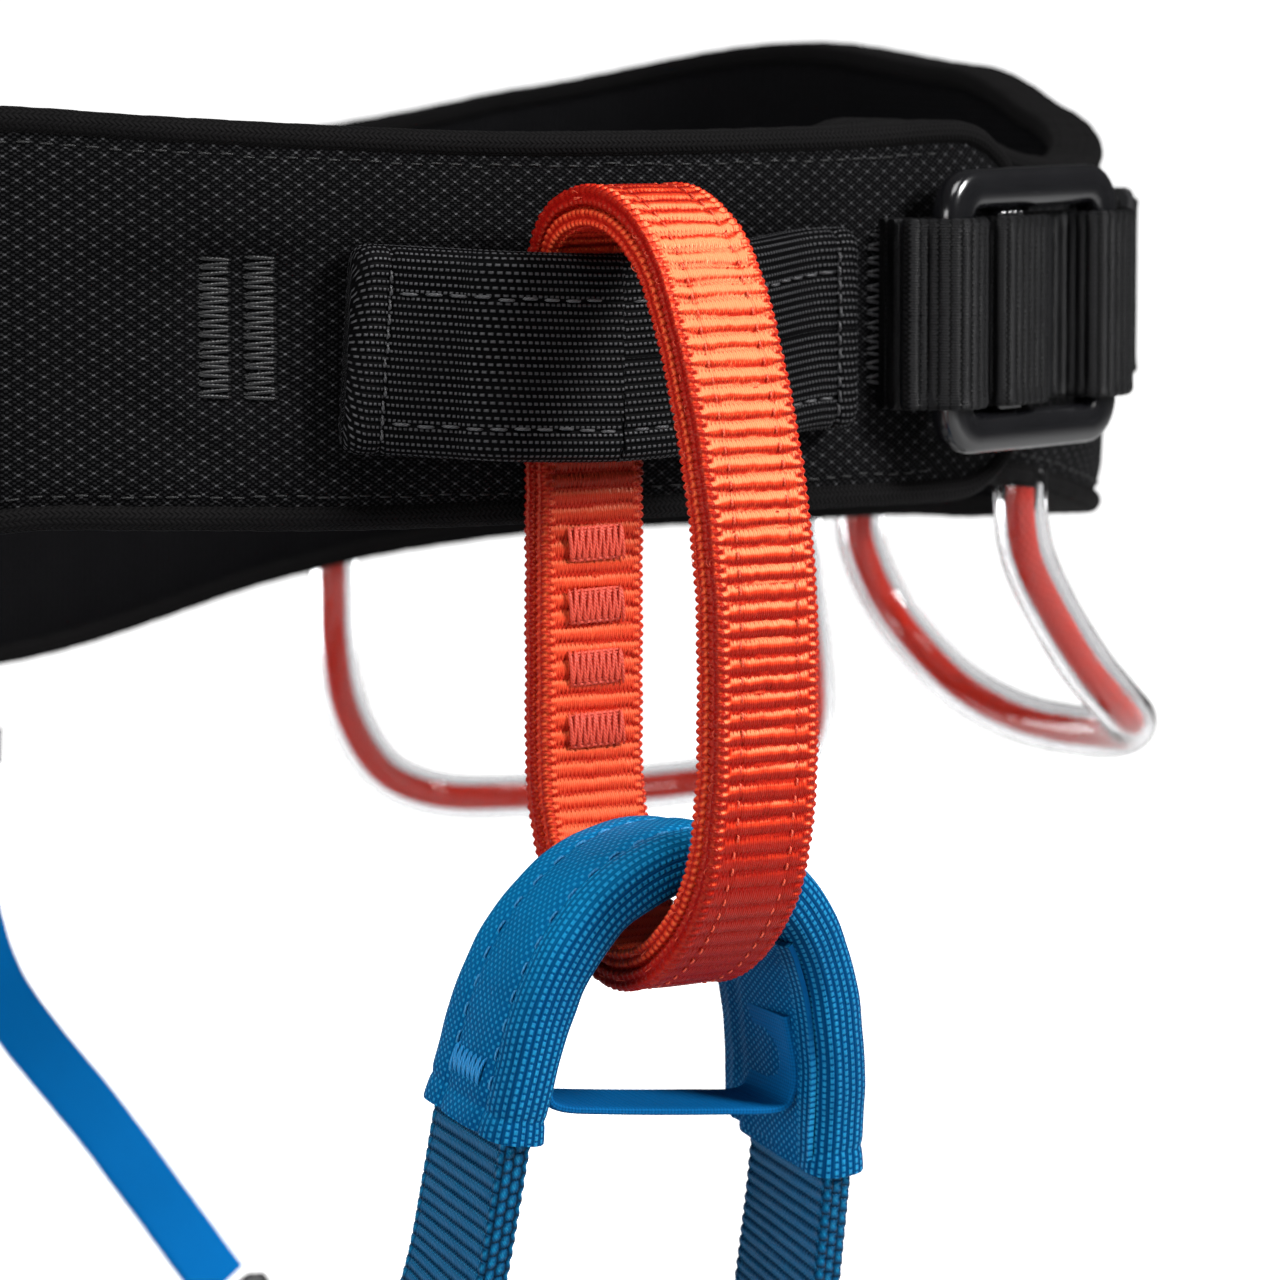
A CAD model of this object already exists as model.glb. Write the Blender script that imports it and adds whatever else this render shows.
# A climbing harness as worn: waist belt, tie-in band, belay loop, crosspiece, two leg loops,
# gear loops and a haul loop. The wearer faces -Y, with the left side at +X and up at +Z.
# Lengths are design millimetres; in_frame() turns them into the frame's metres.
from math import ceil, cos, pi, radians, sin

import bpy
import numpy as np
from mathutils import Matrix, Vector


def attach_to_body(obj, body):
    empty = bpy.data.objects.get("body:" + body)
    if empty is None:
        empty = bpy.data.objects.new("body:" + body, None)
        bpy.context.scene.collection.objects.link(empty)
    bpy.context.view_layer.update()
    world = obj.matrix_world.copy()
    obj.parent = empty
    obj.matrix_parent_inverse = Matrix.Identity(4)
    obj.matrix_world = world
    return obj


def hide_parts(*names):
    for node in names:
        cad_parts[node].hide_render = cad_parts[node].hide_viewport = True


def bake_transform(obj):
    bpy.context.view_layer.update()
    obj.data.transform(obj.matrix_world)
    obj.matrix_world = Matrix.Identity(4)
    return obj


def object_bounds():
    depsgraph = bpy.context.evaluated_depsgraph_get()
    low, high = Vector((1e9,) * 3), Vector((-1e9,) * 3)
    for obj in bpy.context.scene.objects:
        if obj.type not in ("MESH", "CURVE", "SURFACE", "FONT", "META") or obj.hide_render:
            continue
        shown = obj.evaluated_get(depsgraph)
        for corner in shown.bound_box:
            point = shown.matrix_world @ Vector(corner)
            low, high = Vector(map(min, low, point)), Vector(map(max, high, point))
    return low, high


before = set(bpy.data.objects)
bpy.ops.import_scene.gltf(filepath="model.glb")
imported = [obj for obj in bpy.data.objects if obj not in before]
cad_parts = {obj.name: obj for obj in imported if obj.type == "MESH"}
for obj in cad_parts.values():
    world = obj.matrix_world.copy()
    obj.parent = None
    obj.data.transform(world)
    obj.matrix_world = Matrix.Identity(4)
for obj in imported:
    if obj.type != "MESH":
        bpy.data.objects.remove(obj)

cad_lo, cad_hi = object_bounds()
bpy.context.scene.view_settings.view_transform = "Standard"
bpy.context.scene.view_settings.look = "None"

MM = 0.001
ORIGIN = np.array([0.0, -160.2, -49.0])     # the frame's origin in design millimetres
UP = (0.0, 0.0, 1.0)
SIDES = (("left", 1.0), ("right", -1.0))
rng = np.random.default_rng(7)

# The waist is a superellipse; places round it are degrees from the front centre, growing
# towards the wearer's left.
WAIST_HALF_WIDE, WAIST_HALF_DEEP, WAIST_POWER = 150.0, 108.0, 2.5
BELT_START, BELT_END = 13.5, 394.0          # the ends overlap in front
TUCK = 9.6                                  # how far the start lies inside the other end
BELT_CORNER, LEG_CORNER = 20.0, 14.0
PAD_THICK = 8.0
HEM = 2.5                                   # the layers stop this far inside the outline
# degrees, z of the top edge, z of the low edge
BELT_EDGE = np.array([
    (13.5, 28.0, -24.0), (30, 26.0, -27.0), (42, 21.0, -30.0), (60, 20.0, -36.0),
    (80, 27.0, -40.0), (88, 32.7, -42.0), (108, 36.3, -46.0), (138, 27.6, -50.0),
    (155, 21.0, -56.0), (180, 18.0, -70.0), (205, 22.0, -55.0), (225, 30.0, -50.0),
    (255, 36.0, -46.0), (280, 33.0, -40.0), (300, 30.0, -33.0), (331, 31.0, -27.0),
    (340, 29.6, -27.0), (350, 28.0, -28.0), (360, 26.5, -28.5), (375, 26.5, -29.0),
    (385, 27.0, -29.5), (394, 25.0, -29.0)])

WAIST_WEB, LEG_WEB, WEB_THICK = 28.0, 20.0, 1.7
LOOP_PITCH, CROSS_PITCH, LEG_PITCH, BLACK_PITCH = 2.42, 1.93, 1.93, 1.55    # rib to rib

# belay loop: y, z of its closed line in the middle plane
LOOP_WIDE = 16.5
LOOP_REAR_Y = -113.3
LOOP_LINE = [
    (-113.3, -40), (-113.3, -20), (-113.3, 0), (-113.6, 8), (-117, 14), (-124, 16.8),
    (-132, 16.2), (-139.5, 12), (-144.5, 5.5), (-148.5, -3), (-151.8, -12), (-154.6, -22),
    (-156.6, -33), (-157.2, -43), (-157.2, -55), (-156.6, -63), (-155.0, -71), (-152.2, -77),
    (-146.6, -83.2), (-139.8, -87.3), (-132, -88.4), (-124.5, -85.5), (-118.6, -79),
    (-114.9, -71), (-113.4, -63), (-113.3, -52)]

# tie-in band: x, y of its line, from the wearer's right to the left
TIE_LINE = [(-37, -110.3), (-30, -111), (-22, -115.5), (-14, -120.3), (14, -120.3),
            (24, -117.5), (36, -111.5), (49, -108.8)]
TIE_TALL, TIE_THICK, TIE_Z = 29.0, 6.0, -4.9
TIE_BLEND_Y, TIE_BLEND_Z = -120.3, 10.0
TIE_ROWS = (TIE_TALL / 2 - 6.4, -TIE_TALL / 2 + 4.6)    # heights of its lengthwise stitch rows

# crosspiece: x, y, z of its left half, from the middle down to the leg loop
CROSS_HALF = [
    (0, -134.5, -72.7), (7.5, -134.4, -74), (14.5, -134, -78), (20, -133, -84.5),
    (23.5, -132, -92), (25.5, -131, -100), (26.8, -129.5, -108), (27.6, -127.6, -118),
    (28.4, -124.4, -131), (29.9, -119.5, -145)]
CROSS_WEB, CROSS_THICK, SLEEVE_WIDE, SLEEVE_THICK = 20.0, 4.5, 22.4, 8.5
SLEEVE_ROWS = (4.8, -5.4)       # stitch lines across the sleeve, + is towards the wearer
SLEEVE_RIB = 1.12
# thin strap across the arch, x, y, z
ARCH_STRAP = [
    (-17.5, -131.9, -92.5), (-19.6, -131.0, -100.0), (-20.0, -130.3, -103.6),
    (-18.2, -130, -106.2), (-9, -130, -107.6), (9, -130, -109.4), (18.6, -130, -110.0),
    (20.9, -130.2, -107.6), (20.8, -130.7, -103.6), (18.8, -131.4, -96.5)]

# Leg loops are ellipses; places round them are degrees from the outer side, growing rearwards.
LEG_X, LEG_Y, LEG_RX, LEG_RY = 100.0, -25.0, 84.0, 82.0
LEG_PAD_START, LEG_PAD_END, LEG_BUCKLE_AT = -25, 250, 300.0
FRONT_STRAP = [
    (29.5, -120.6, -142.0), (30.6, -117.7, -150.2), (36.0, -110.0, -167.0),
    (43.6, -101.9, -183.0), (48.3, -97.0, -195.0), (49.1, -95.6, -204.0), (49.3, -95.4, -221.0)]

GEAR_OD, GEAR_BORE, GEAR_CORD = 8.5, 5.9, 4.4
GEAR_TAIL = 7.0                 # how far both ends rise inside the belt
# front gear loop, x, y, z
GEAR_FRONT = [
    (106.4, -72.6, -35.0), (109.0, -71.0, -42.0), (115.1, -68.6, -50.0),
    (124.6, -65.0, -60.0), (135.0, -60.0, -67.6), (144.5, -51.5, -72.3),
    (149.5, -40.0, -75.2), (152.5, -24.0, -76.7), (154.0, -7.0, -76.3),
    (154.6, 9.0, -73.0), (152.8, 19.0, -66.8), (149.0, 24.8, -58.5), (145.0, 26.2, -48.2)]
# degrees round the belt and distance out, in place of the first points' x, y on the right
GEAR_FRONT_RIGHT = [(316.0, -4.0), (314.0, -3.4), (310.5, -2.0)]
# rear gear loop: degrees round the belt, distance out, z
GEAR_REAR = [
    (107.5, -3, -49.3), (107.5, -1, -60.5), (108, 3, -76), (110, 7, -86), (114.5, 11, -91.5),
    (121, 14, -95), (129, 15.5, -97.5), (137, 15, -98.8), (143, 12, -98), (147.5, 8, -93),
    (150.5, 4, -82), (151.8, 0, -70), (152.2, -3, -59.2)]

# left riser, x, y, z: the part at the belt, then the run down to the hook
RISER_X = 13.5
RISER_TOP = [(13.5, 109.7, -58.0), (13.5, 109.5, -65.0), (13.5, 108.6, -70.5),
             (13.5, 107.9, -75.5), (13.5, 107.7, -81.0)]
RISER_FALL = [(13.5, 107.6, -90.0), (14.0, 107.0, -106.0), (19.5, 105.0, -126.7),
              (37.6, 101.0, -151.7), (53.5, 95.8, -175.5), (56.9, 94.8, -180.6)]
RISER_WEB, RISER_THICK = 11.0, 1.8

# haul loop: y from its middle and z of the closed line; then x, y of the tab that holds it
HAUL_Y, HAUL_TAB_Z = 113.4, -9
HAUL_LINE = [
    (-3.4, -9), (-2.4, -6.4), (0, -5.4), (2.4, -6.4), (3.4, -9), (3.4, -20), (3.4, -30),
    (3.4, -40), (3.4, -50), (2.4, -52.8), (0, -53.8), (-2.4, -52.8), (-3.4, -50), (-3.4, -40),
    (-3.4, -30), (-3.4, -20)]
HAUL_TAB = [
    (-19, 108.0), (-14, 109.2), (-10.5, 110.8), (-8.6, 112.6), (-6.5, 113.3), (0, 113.4),
    (6.5, 113.3), (8.6, 112.6), (10.5, 110.8), (14, 109.2), (19, 108.0)]

# buckles: half length and end bar of the ring, its two faces, side bar, place of the slider
FRAME_L, FRAME_BAR, FRAME_LOW, FRAME_HIGH, SIDE_BAR, SLIDER_L = 22.0, 6.5, 3.9, 8.5, 4.7, -6.0
SLIDER_LONG = 6.0
WAIST_BUCKLE_AT, WAIST_BUCKLE_Z = 28.2, -0.8
# webbing through a buckle: distance along it, distance out
STRAP_IN = [
    (27.5, -0.4), (23.5, 1.3), (19.5, 1.95), (12, 1.95), (4, 1.95), (-4, 1.95), (-7.6, 2.05),
    (-9.8, 2.9), (-10.55, 4.7), (-10.55, 7.4), (-9.8, 9.15), (-7.8, 9.65), (-3, 9.65),
    (-0.4, 9.5), (1.4, 8.6), (2.2, 6.9), (3.1, 5.2), (5, 4.15), (7.6, 3.95), (10.2, 4.1),
    (12.2, 5.0), (13.4, 6.9), (14.4, 8.9), (16.2, 9.9), (18.6, 10.1), (21, 9.8)]
WAIST_ANCHOR = [
    (-26, 1.35), (-21, 1.9), (-17, 2.2), (-14.9, 3.2), (-14.25, 5.0), (-14.25, 7.6),
    (-15.3, 9.3), (-18, 9.9), (-21.0, 9.4), (-23.0, 7.6), (-24.4, 5.2), (-26.6, 3.6)]
LEG_ANCHOR = [
    (-33, -4.4), (-28.5, -1.9), (-24.5, 0.4), (-21, 1.9), (-17, 2.3), (-14.9, 3.3),
    (-14.25, 5.0), (-14.25, 7.6), (-15.3, 9.3), (-18, 10.0), (-21.2, 9.5), (-24.6, 6.6),
    (-28.5, 2.6), (-33, -1.4)]
# waist strap on the belt: degrees, distance out, before and after the buckle
STRAP_BEFORE = [(87, 1.35), (80, 1.35), (73, 1.0), (66, -0.7), (60, -2.3), (54, -2.95),
                (49.5, -2.3), (46, -1.3)]
STRAP_AFTER = [(46.5, 2.4), (50, 0.3), (54, -0.6), (58, 0.0), (61.5, 2.0)]
KEEPER_AT, KEEPER_OUT = 54.0, -1.8


# ================================================================ curves

def unit(vectors):
    return vectors / np.linalg.norm(vectors, axis=-1, keepdims=True)


def ease(x):
    x = np.clip(x, 0, 1)
    return x * x * (3 - 2 * x)


def gauss(x, width):
    return np.exp(-(x / width) ** 2)


def window(x, start, end, soft):
    return ease((x - start) / soft) * (1 - ease((x - end + soft) / soft))


def signed_power(x, power):
    return np.sign(x) * np.abs(x) ** power


def ripple(x, seed=0.0):
    return (np.sin(x + 1.7 * seed) + 0.6 * np.sin(2.31 * x + 3.1 * seed)
            + 0.4 * np.sin(4.07 * x + 0.7 * seed)) / 2.0


def ripple2(x, y, seed=0.0):
    return (np.sin(x + 0.7 * y + seed) + np.sin(-0.8 * x + 1.1 * y + 2.1 * seed)
            + 0.6 * np.sin(1.9 * x - 0.4 * y + 0.5 * seed)
            + 0.5 * np.sin(0.5 * x + 2.3 * y + 1.3 * seed)) / 3.1


def waist_line(degrees):
    angle = np.radians(np.asarray(degrees, float))
    power = 2 / WAIST_POWER
    return np.stack([WAIST_HALF_WIDE * signed_power(np.sin(angle), power),
                     -WAIST_HALF_DEEP * signed_power(np.cos(angle), power)], -1)


def waist_out(degrees):
    """Outward direction at a place round the waist."""
    degrees = np.asarray(degrees, float)
    along = unit(waist_line(degrees + 0.01) - waist_line(degrees - 0.01))
    return np.stack([along[..., 1], -along[..., 0]], -1)


def waist_xy(degrees, off):
    return waist_line(degrees) + np.asarray(off, float)[..., None] * waist_out(degrees)


def waist_directions(degrees):
    x, y = waist_out(degrees)
    return np.array([-y, x, 0.0]), np.array([x, y, 0.0])


def on_waist(places):
    """Points level with the waist buckle, from degrees and distance out."""
    return [(*waist_xy(degrees, off), WAIST_BUCKLE_Z) for degrees, off in places]


def tuck(degrees):
    return TUCK * (1 - ease((np.asarray(degrees, float) - 38.0) / 42.0))


def leg_middle(degrees):
    return -225.0 + 11.0 * np.cos(np.radians(degrees - 235.0))


def leg_height(degrees):
    return 51.0 + 11.0 * np.cos(np.radians(degrees - 55.0))


def leg_xy(side, degrees, off):
    angle = np.radians(degrees)
    return np.stack([side * (LEG_X + (LEG_RX + off) * np.cos(angle)),
                     LEG_Y + (LEG_RY + off) * np.sin(angle)], -1)


def leg_point(side, degrees, off, rise=0.0):
    xy = leg_xy(side, degrees, off)
    z = np.broadcast_to(leg_middle(degrees) + rise, xy.shape[:-1])
    return np.concatenate([xy, z[..., None]], -1)


def spline(before, start, end, after, f):
    """Catmull-Rom between start and end."""
    return 0.5 * (2 * start + (end - before) * f
                  + (2 * before - 5 * start + 4 * end - after) * f * f
                  + (3 * start - before - 3 * end + after) * f ** 3)


def catmull(points, sub=16, closed=False):
    points = np.asarray(points, float)
    count, dense = len(points), []
    for i in range(count if closed else count - 1):
        start, end = points[i], points[(i + 1) % count]
        before = points[i - 1] if closed or i else 2 * start - end
        after = points[(i + 2) % count] if closed or i + 2 < count else 2 * end - start
        dense += [spline(before, start, end, after, k / sub) for k in range(sub)]
    dense.append(points[0] if closed else points[-1])
    return np.array(dense)


def length_of(dense):
    steps = np.linalg.norm(np.diff(dense[:, :3], axis=0), axis=1)
    return np.concatenate([[0.0], np.cumsum(steps)])


def resample(dense, count, closed=False):
    """Evenly spaced stations; the length is taken over the first three columns."""
    run = length_of(dense)
    at = np.linspace(0, run[-1], count + 1 if closed else count)[:count]
    return np.stack([np.interp(at, run, dense[:, k]) for k in range(dense.shape[1])], axis=1)


def smooth_line(path, passes, closed=False):
    path = path.copy()
    for _ in range(passes):
        if closed:
            path = 0.5 * path + 0.25 * (np.roll(path, 1, 0) + np.roll(path, -1, 0))
        else:
            path[1:-1] = 0.5 * path[1:-1] + 0.25 * (path[2:] + path[:-2])
    return path


def spaced(dense, step, passes, extra=0):
    """Smoothed stations about a step apart, and their distances along."""
    total = length_of(dense)[-1]
    count = int(total / step) + extra
    return smooth_line(resample(dense, count), passes), np.linspace(0, total, count)


def frames(path, wide, closed=False):
    """Unit vectors across a strip and normal to it, from the rough way its width lies."""
    if closed:
        along = np.roll(path, -1, axis=0) - np.roll(path, 1, axis=0)
    else:
        along = np.gradient(path, axis=0)
    along = unit(along)
    wide = np.broadcast_to(np.asarray(wide, float), path.shape)
    wide = unit(wide - np.sum(wide * along, axis=1, keepdims=True) * along)
    return wide, np.cross(along, wide)


def mirrored(points, side):
    points = np.array(points, float)
    points[:, 0] *= side
    return points


# ================================================================ meshes

def in_frame(points):
    return (np.asarray(points, float) - ORIGIN) * MM


def attach(obj, slot, body=None, *nodes):
    """Names the body an object rides on, the CAD pieces it stands for and its material slot."""
    if body:
        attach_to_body(obj, body)
    if nodes:
        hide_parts(*nodes)


def blend(obj, start, end):
    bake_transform(obj)


def make(name, verts, quads, quad_uv, material, caps=(), angle=55.0):
    """Mesh object with its faces turned outwards; caps are (indices, texture places)."""
    verts = np.asarray(verts, float)
    corners = verts[quads]
    volume = (np.sum(np.cross(corners[:, 1], corners[:, 2]) * corners[:, 0])
              + np.sum(np.cross(corners[:, 2], corners[:, 3]) * corners[:, 0]))
    for indices, _ in caps:
        rim = verts[indices]
        volume += np.sum(np.cross(rim[1:-1], rim[2:]) * rim[0])
    if volume < 0:
        quads, quad_uv = quads[:, ::-1], quad_uv[:, ::-1]
        caps = [(indices[::-1], uv[::-1]) for indices, uv in caps]
    mesh = bpy.data.meshes.new(name)
    faces = quads.tolist() + [indices.tolist() for indices, _ in caps]
    mesh.from_pydata(in_frame(verts).tolist(), [], faces)
    flat = np.concatenate([quad_uv.reshape(-1, 2)] + [uv for _, uv in caps])
    layer = mesh.uv_layers.new(name="mm")
    layer.data.foreach_set("uv", flat.astype(np.float32).ravel())
    mesh.materials.append(material)
    mesh.shade_smooth()
    mesh.set_sharp_from_angle(angle=radians(angle))
    obj = bpy.data.objects.new(name, mesh)
    bpy.context.scene.collection.objects.link(obj)
    return obj


def quad_faces(rows, cols, closed):
    """Vertex indices, rows and columns of the face corners of rings joined into a tube."""
    i, k = (grid.ravel() for grid in np.meshgrid(
        np.arange(rows if closed else rows - 1), np.arange(cols), indexing="ij"))
    row = np.stack([i, i, i + 1, i + 1], 1)
    col = np.stack([k, k + 1, k + 1, k], 1)
    return row % rows * cols + col % cols, row, col


def make_grid(name, points, along, around, material, closed=False, angle=55.0):
    """Tube through rings of points, capped or closed on itself; along and around are its
    texture places in millimetres."""
    rows, cols = points.shape[:2]
    quads, row, col = quad_faces(rows, cols, closed)
    uv = np.stack(np.broadcast_arrays(np.asarray(along, float)[:, None],
                                      np.asarray(around, float)), -1)
    caps = []
    if not closed:
        ring = np.arange(cols)
        caps = [(ring[::-1], uv[0, ring[::-1]]), (ring + (rows - 1) * cols, uv[-1, ring])]
    return make(name, points.reshape(-1, 3), quads, uv[row, col], material, caps, angle)


def section(width, thick, corner, step=0.8, arc=5):
    """Rounded rectangle: points (across, out), outward normals and perimeter positions, with
    the seam at the back."""
    half_w, half_t = width / 2, thick / 2
    flat_w, flat_t = half_w - corner, half_t - corner
    points, normals = [], []
    count_w = max(2, int(ceil((half_w - corner) / step)))
    count_t = max(1, int(ceil((thick - 2 * corner) / step)))

    def face(start, end, normal, count):
        for x in np.linspace(0, 1, count, endpoint=False):
            points.append((start[0] + (end[0] - start[0]) * x,
                           start[1] + (end[1] - start[1]) * x))
            normals.append(normal)

    def turn(centre, start):
        for x in np.linspace(0, 1, arc, endpoint=False):
            angle = start - x * pi / 2
            points.append((centre[0] + corner * cos(angle), centre[1] + corner * sin(angle)))
            normals.append((cos(angle), sin(angle)))

    face((0, -half_t), (-half_w + corner, -half_t), (0, -1), count_w)
    turn((-half_w + corner, -half_t + corner), 1.5 * pi)
    face((-half_w, -half_t + corner), (-half_w, flat_t), (-1, 0), count_t)
    turn((-half_w + corner, flat_t), pi)
    face((-half_w + corner, half_t), (flat_w, half_t), (0, 1), 2 * count_w)
    turn((flat_w, flat_t), 0.5 * pi)
    face((half_w, flat_t), (half_w, -half_t + corner), (1, 0), count_t)
    turn((flat_w, -half_t + corner), 0)
    face((flat_w, -half_t), (0, -half_t), (0, -1), count_w)
    points, normals = np.array(points), np.array(normals)
    around = length_of(np.vstack([points, points[:1]]))
    return points, normals, around - around[-1] / 2


def loft(path, wide, normal, shape, swell=0.0, scale=(1.0, 1.0)):
    """Points of a section carried along a path, swollen along the section's normals."""
    points, normals, _ = shape
    across = points[:, 0] * np.reshape(scale[0], (-1, 1)) + swell * normals[:, 0]
    out = points[:, 1] * np.reshape(scale[1], (-1, 1)) + swell * normals[:, 1]
    return path[:, None, :] + across[..., None] * wide[:, None, :] + out[..., None] * normal[:, None, :]


def ribs(run, shape, pitch, depth, bead, columns, seed, zigzag=0.0, soft=1.0, bead_pitch=None):
    """Height of ribbed webbing: rolls across its faces, serrated where the yarns alternate, and
    rows of beads along its edges."""
    points = shape[0]
    bead_pitch = bead_pitch or pitch
    run = run[:, None]
    across = points[None, :, 0]
    parity = np.where(np.arange(len(points)) % 2 == 0, 1.0, -1.0)[None, :]
    cell = np.floor(run / pitch)
    # hash of rib and yarn, -0.5 to 0.5
    rough = np.sin(cell * 12.9898 + np.round(across / 0.34) * 78.233 + seed) * 43758.5453
    rough = rough - np.floor(rough) - 0.5
    phase = (run / pitch + 0.03 * ripple(across * 0.8, seed)
             + 0.03 * ripple2(run * 0.9, across * 0.5, seed)
             + zigzag * parity * (1 + 1.2 * rough))
    crest = np.abs(np.sin(pi * phase)) ** 0.85
    face = -depth * (0.85 + 0.3 * ripple2(cell * 2.3, across * 0.35, seed)) * soft * (1 - crest)
    half_w, half_t = np.abs(points[:, 0]).max(), np.abs(points[:, 1]).max()
    place = (points[None, :, 1] / half_t + 1) / 2 * columns
    column = np.clip(np.floor(place), 0, columns - 1)
    beads = np.abs(np.sin(pi * (run / bead_pitch + 0.5 * column
                                + 0.03 * ripple(run * 1.3, seed)))) ** 0.8
    edge = bead * (beads * np.abs(np.sin(pi * place)) ** 0.5 - 0.65)
    side = ease((np.abs(across) - half_w + 0.75) / 0.5)
    rim = (1 - side) * ease((np.abs(across) - half_w + 1.9) / 0.5)
    rim_beads = np.abs(np.sin(pi * (run / bead_pitch + 0.25))) ** 0.8
    return face * (1 - side) * (1 - rim) + rim * bead * (rim_beads - 0.75) + edge * side


def webbing(name, line, wide, width, thick, pitch, depth, material, closed=False, per=6,
            bead=0.15, corner=None, seed=1.0, step=0.8, columns=1, relax=2, zigzag=0.0):
    """Ribbed webbing along a line, with `per` stations to each rib."""
    line = np.asarray(line, float)
    wide = np.broadcast_to(np.asarray(wide, float), line.shape)
    dense = catmull(np.concatenate([line, wide], axis=1), 16, closed)
    rib_count = int(round(length_of(dense)[-1] / pitch))
    count = rib_count * per + (0 if closed else 1)
    both = smooth_line(resample(dense, count, closed), relax, closed)
    path = both[:, :3]
    wide, normal = frames(path, both[:, 3:], closed)
    run = np.arange(count + (1 if closed else 0)) * (pitch / per)
    shape = section(width, thick, corner or thick * 0.42, step)
    swell = ribs(run[:count], shape, pitch, depth, bead, columns, seed, zigzag)
    points = loft(path, wide, normal, shape, swell)
    return make_grid(name, points, run, shape[2], material, closed=closed)


def tubes(name, lines, radius, material, sides=6, taper=True):
    """Many short threads in one mesh; lines is (threads, points, 3)."""
    lines = np.asarray(lines, float)
    threads, count = lines.shape[:2]
    along = unit(np.gradient(lines, axis=1))
    across = unit(np.cross(along, np.broadcast_to((0.3, 0.2, 0.93), lines.shape)))
    normal = np.cross(along, across)
    radii = np.full(count, float(radius))
    if taper:
        radii[[0, -1]] *= 0.35
    angles = (2 * pi * np.arange(sides) / sides)[:, None]
    points = (lines[:, :, None, :] + radii[:, None, None]
              * (np.cos(angles) * across[:, :, None, :] + np.sin(angles) * normal[:, :, None, :]))
    steps = np.linalg.norm(np.diff(lines, axis=1), axis=2)
    run = np.concatenate([np.zeros((threads, 1)), np.cumsum(steps, axis=1)], 1)
    one, row, col = quad_faces(count, sides, False)
    base = count * sides
    quads = (one[None] + base * np.arange(threads)[:, None, None]).reshape(-1, 4)
    uv = np.stack(np.broadcast_arrays(run[:, row], col * (2 * pi * radius / sides)), -1)
    ring, blank = np.arange(sides), np.zeros((sides, 2))
    caps = []
    for t in range(threads):
        caps.append((t * base + ring[::-1], blank))
        caps.append((t * base + base - sides + ring, blank))
    return make(name, points.reshape(-1, 3), quads, uv.reshape(-1, 4, 2), material, caps, 80)


def stitch_row(line, out, side, length, gap, lift, start=0.6, sag=0.25):
    """Dashes along a dense line, standing off it by lift: (dashes, 5, 3)."""
    run = length_of(line)
    out, side = np.broadcast_to(out, line.shape), np.broadcast_to(side, line.shape)
    height = np.array([-sag, lift * 0.8, lift, lift * 0.8, -sag])[:, None]

    def at(places, values):
        return np.stack([np.interp(places, run, values[:, k]) for k in range(3)], 1)

    dashes = []
    x = start
    while x + length < run[-1] - 0.3:
        places = x + np.array([0, 0.18, 0.5, 0.82, 1.0]) * length
        drift = 0.12 * rng.standard_normal()
        dashes.append(at(places, line) + unit(at(places, out)) * height
                      + unit(at(places, side)) * drift)
        x += length + gap
    return np.array(dashes)


THREAD = np.linspace(-1, 1, 7)      # stations along a bar tack's thread


def arched(lift, sink, thread=THREAD):
    """Height of a bar tack's thread: raised in the middle, its ends sunk in."""
    return lift * np.cos(thread * pi / 2) - sink * (np.abs(thread) > 0.95)


def alternate(k):
    return 1 if k % 2 else -1


# ================================================================ materials

class Term:
    """A value in a node tree; working with it adds nodes."""

    def __init__(self, tex, socket):
        self.tex, self.socket = tex, socket

    def __add__(self, other):
        return self.tex.math("ADD", self, other)

    def __sub__(self, other):
        return self.tex.math("SUBTRACT", self, other)

    def __rsub__(self, other):
        return self.tex.math("SUBTRACT", other, self)

    def __mul__(self, other):
        return self.tex.math("MULTIPLY", self, other)

    def __rmul__(self, other):
        return self.tex.math("MULTIPLY", other, self)

    def sin(self):
        return self.tex.math("SINE", self)

    def abs(self):
        return self.tex.math("ABSOLUTE", self)

    def fract(self):
        return self.tex.math("FRACT", self)

    def floor(self):
        return self.tex.math("FLOOR", self)

    def clamp(self):
        return self.tex.math("ADD", self, 0.0, clamp=True)

    def stripes(self, pitch):
        """Rounded stripes, 0 to 1, one to each pitch."""
        return (self * (pi / pitch)).sin().abs()

    def swing(self, pitch):
        """Cosine over a pitch, -1 to 1."""
        return self.tex.math("COSINE", self * (2 * pi / pitch))

    def ramp(self, zero_at, one_at):
        """Smooth change from 0 at the first value to 1 at the second, which may be lower."""
        node = self.tex.add("MapRange")
        node.interpolation_type = "SMOOTHSTEP"
        self.tex.put(node.inputs[0], self)
        node.inputs[1].default_value, node.inputs[2].default_value = zero_at, one_at
        return Term(self.tex, node.outputs[0])


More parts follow.
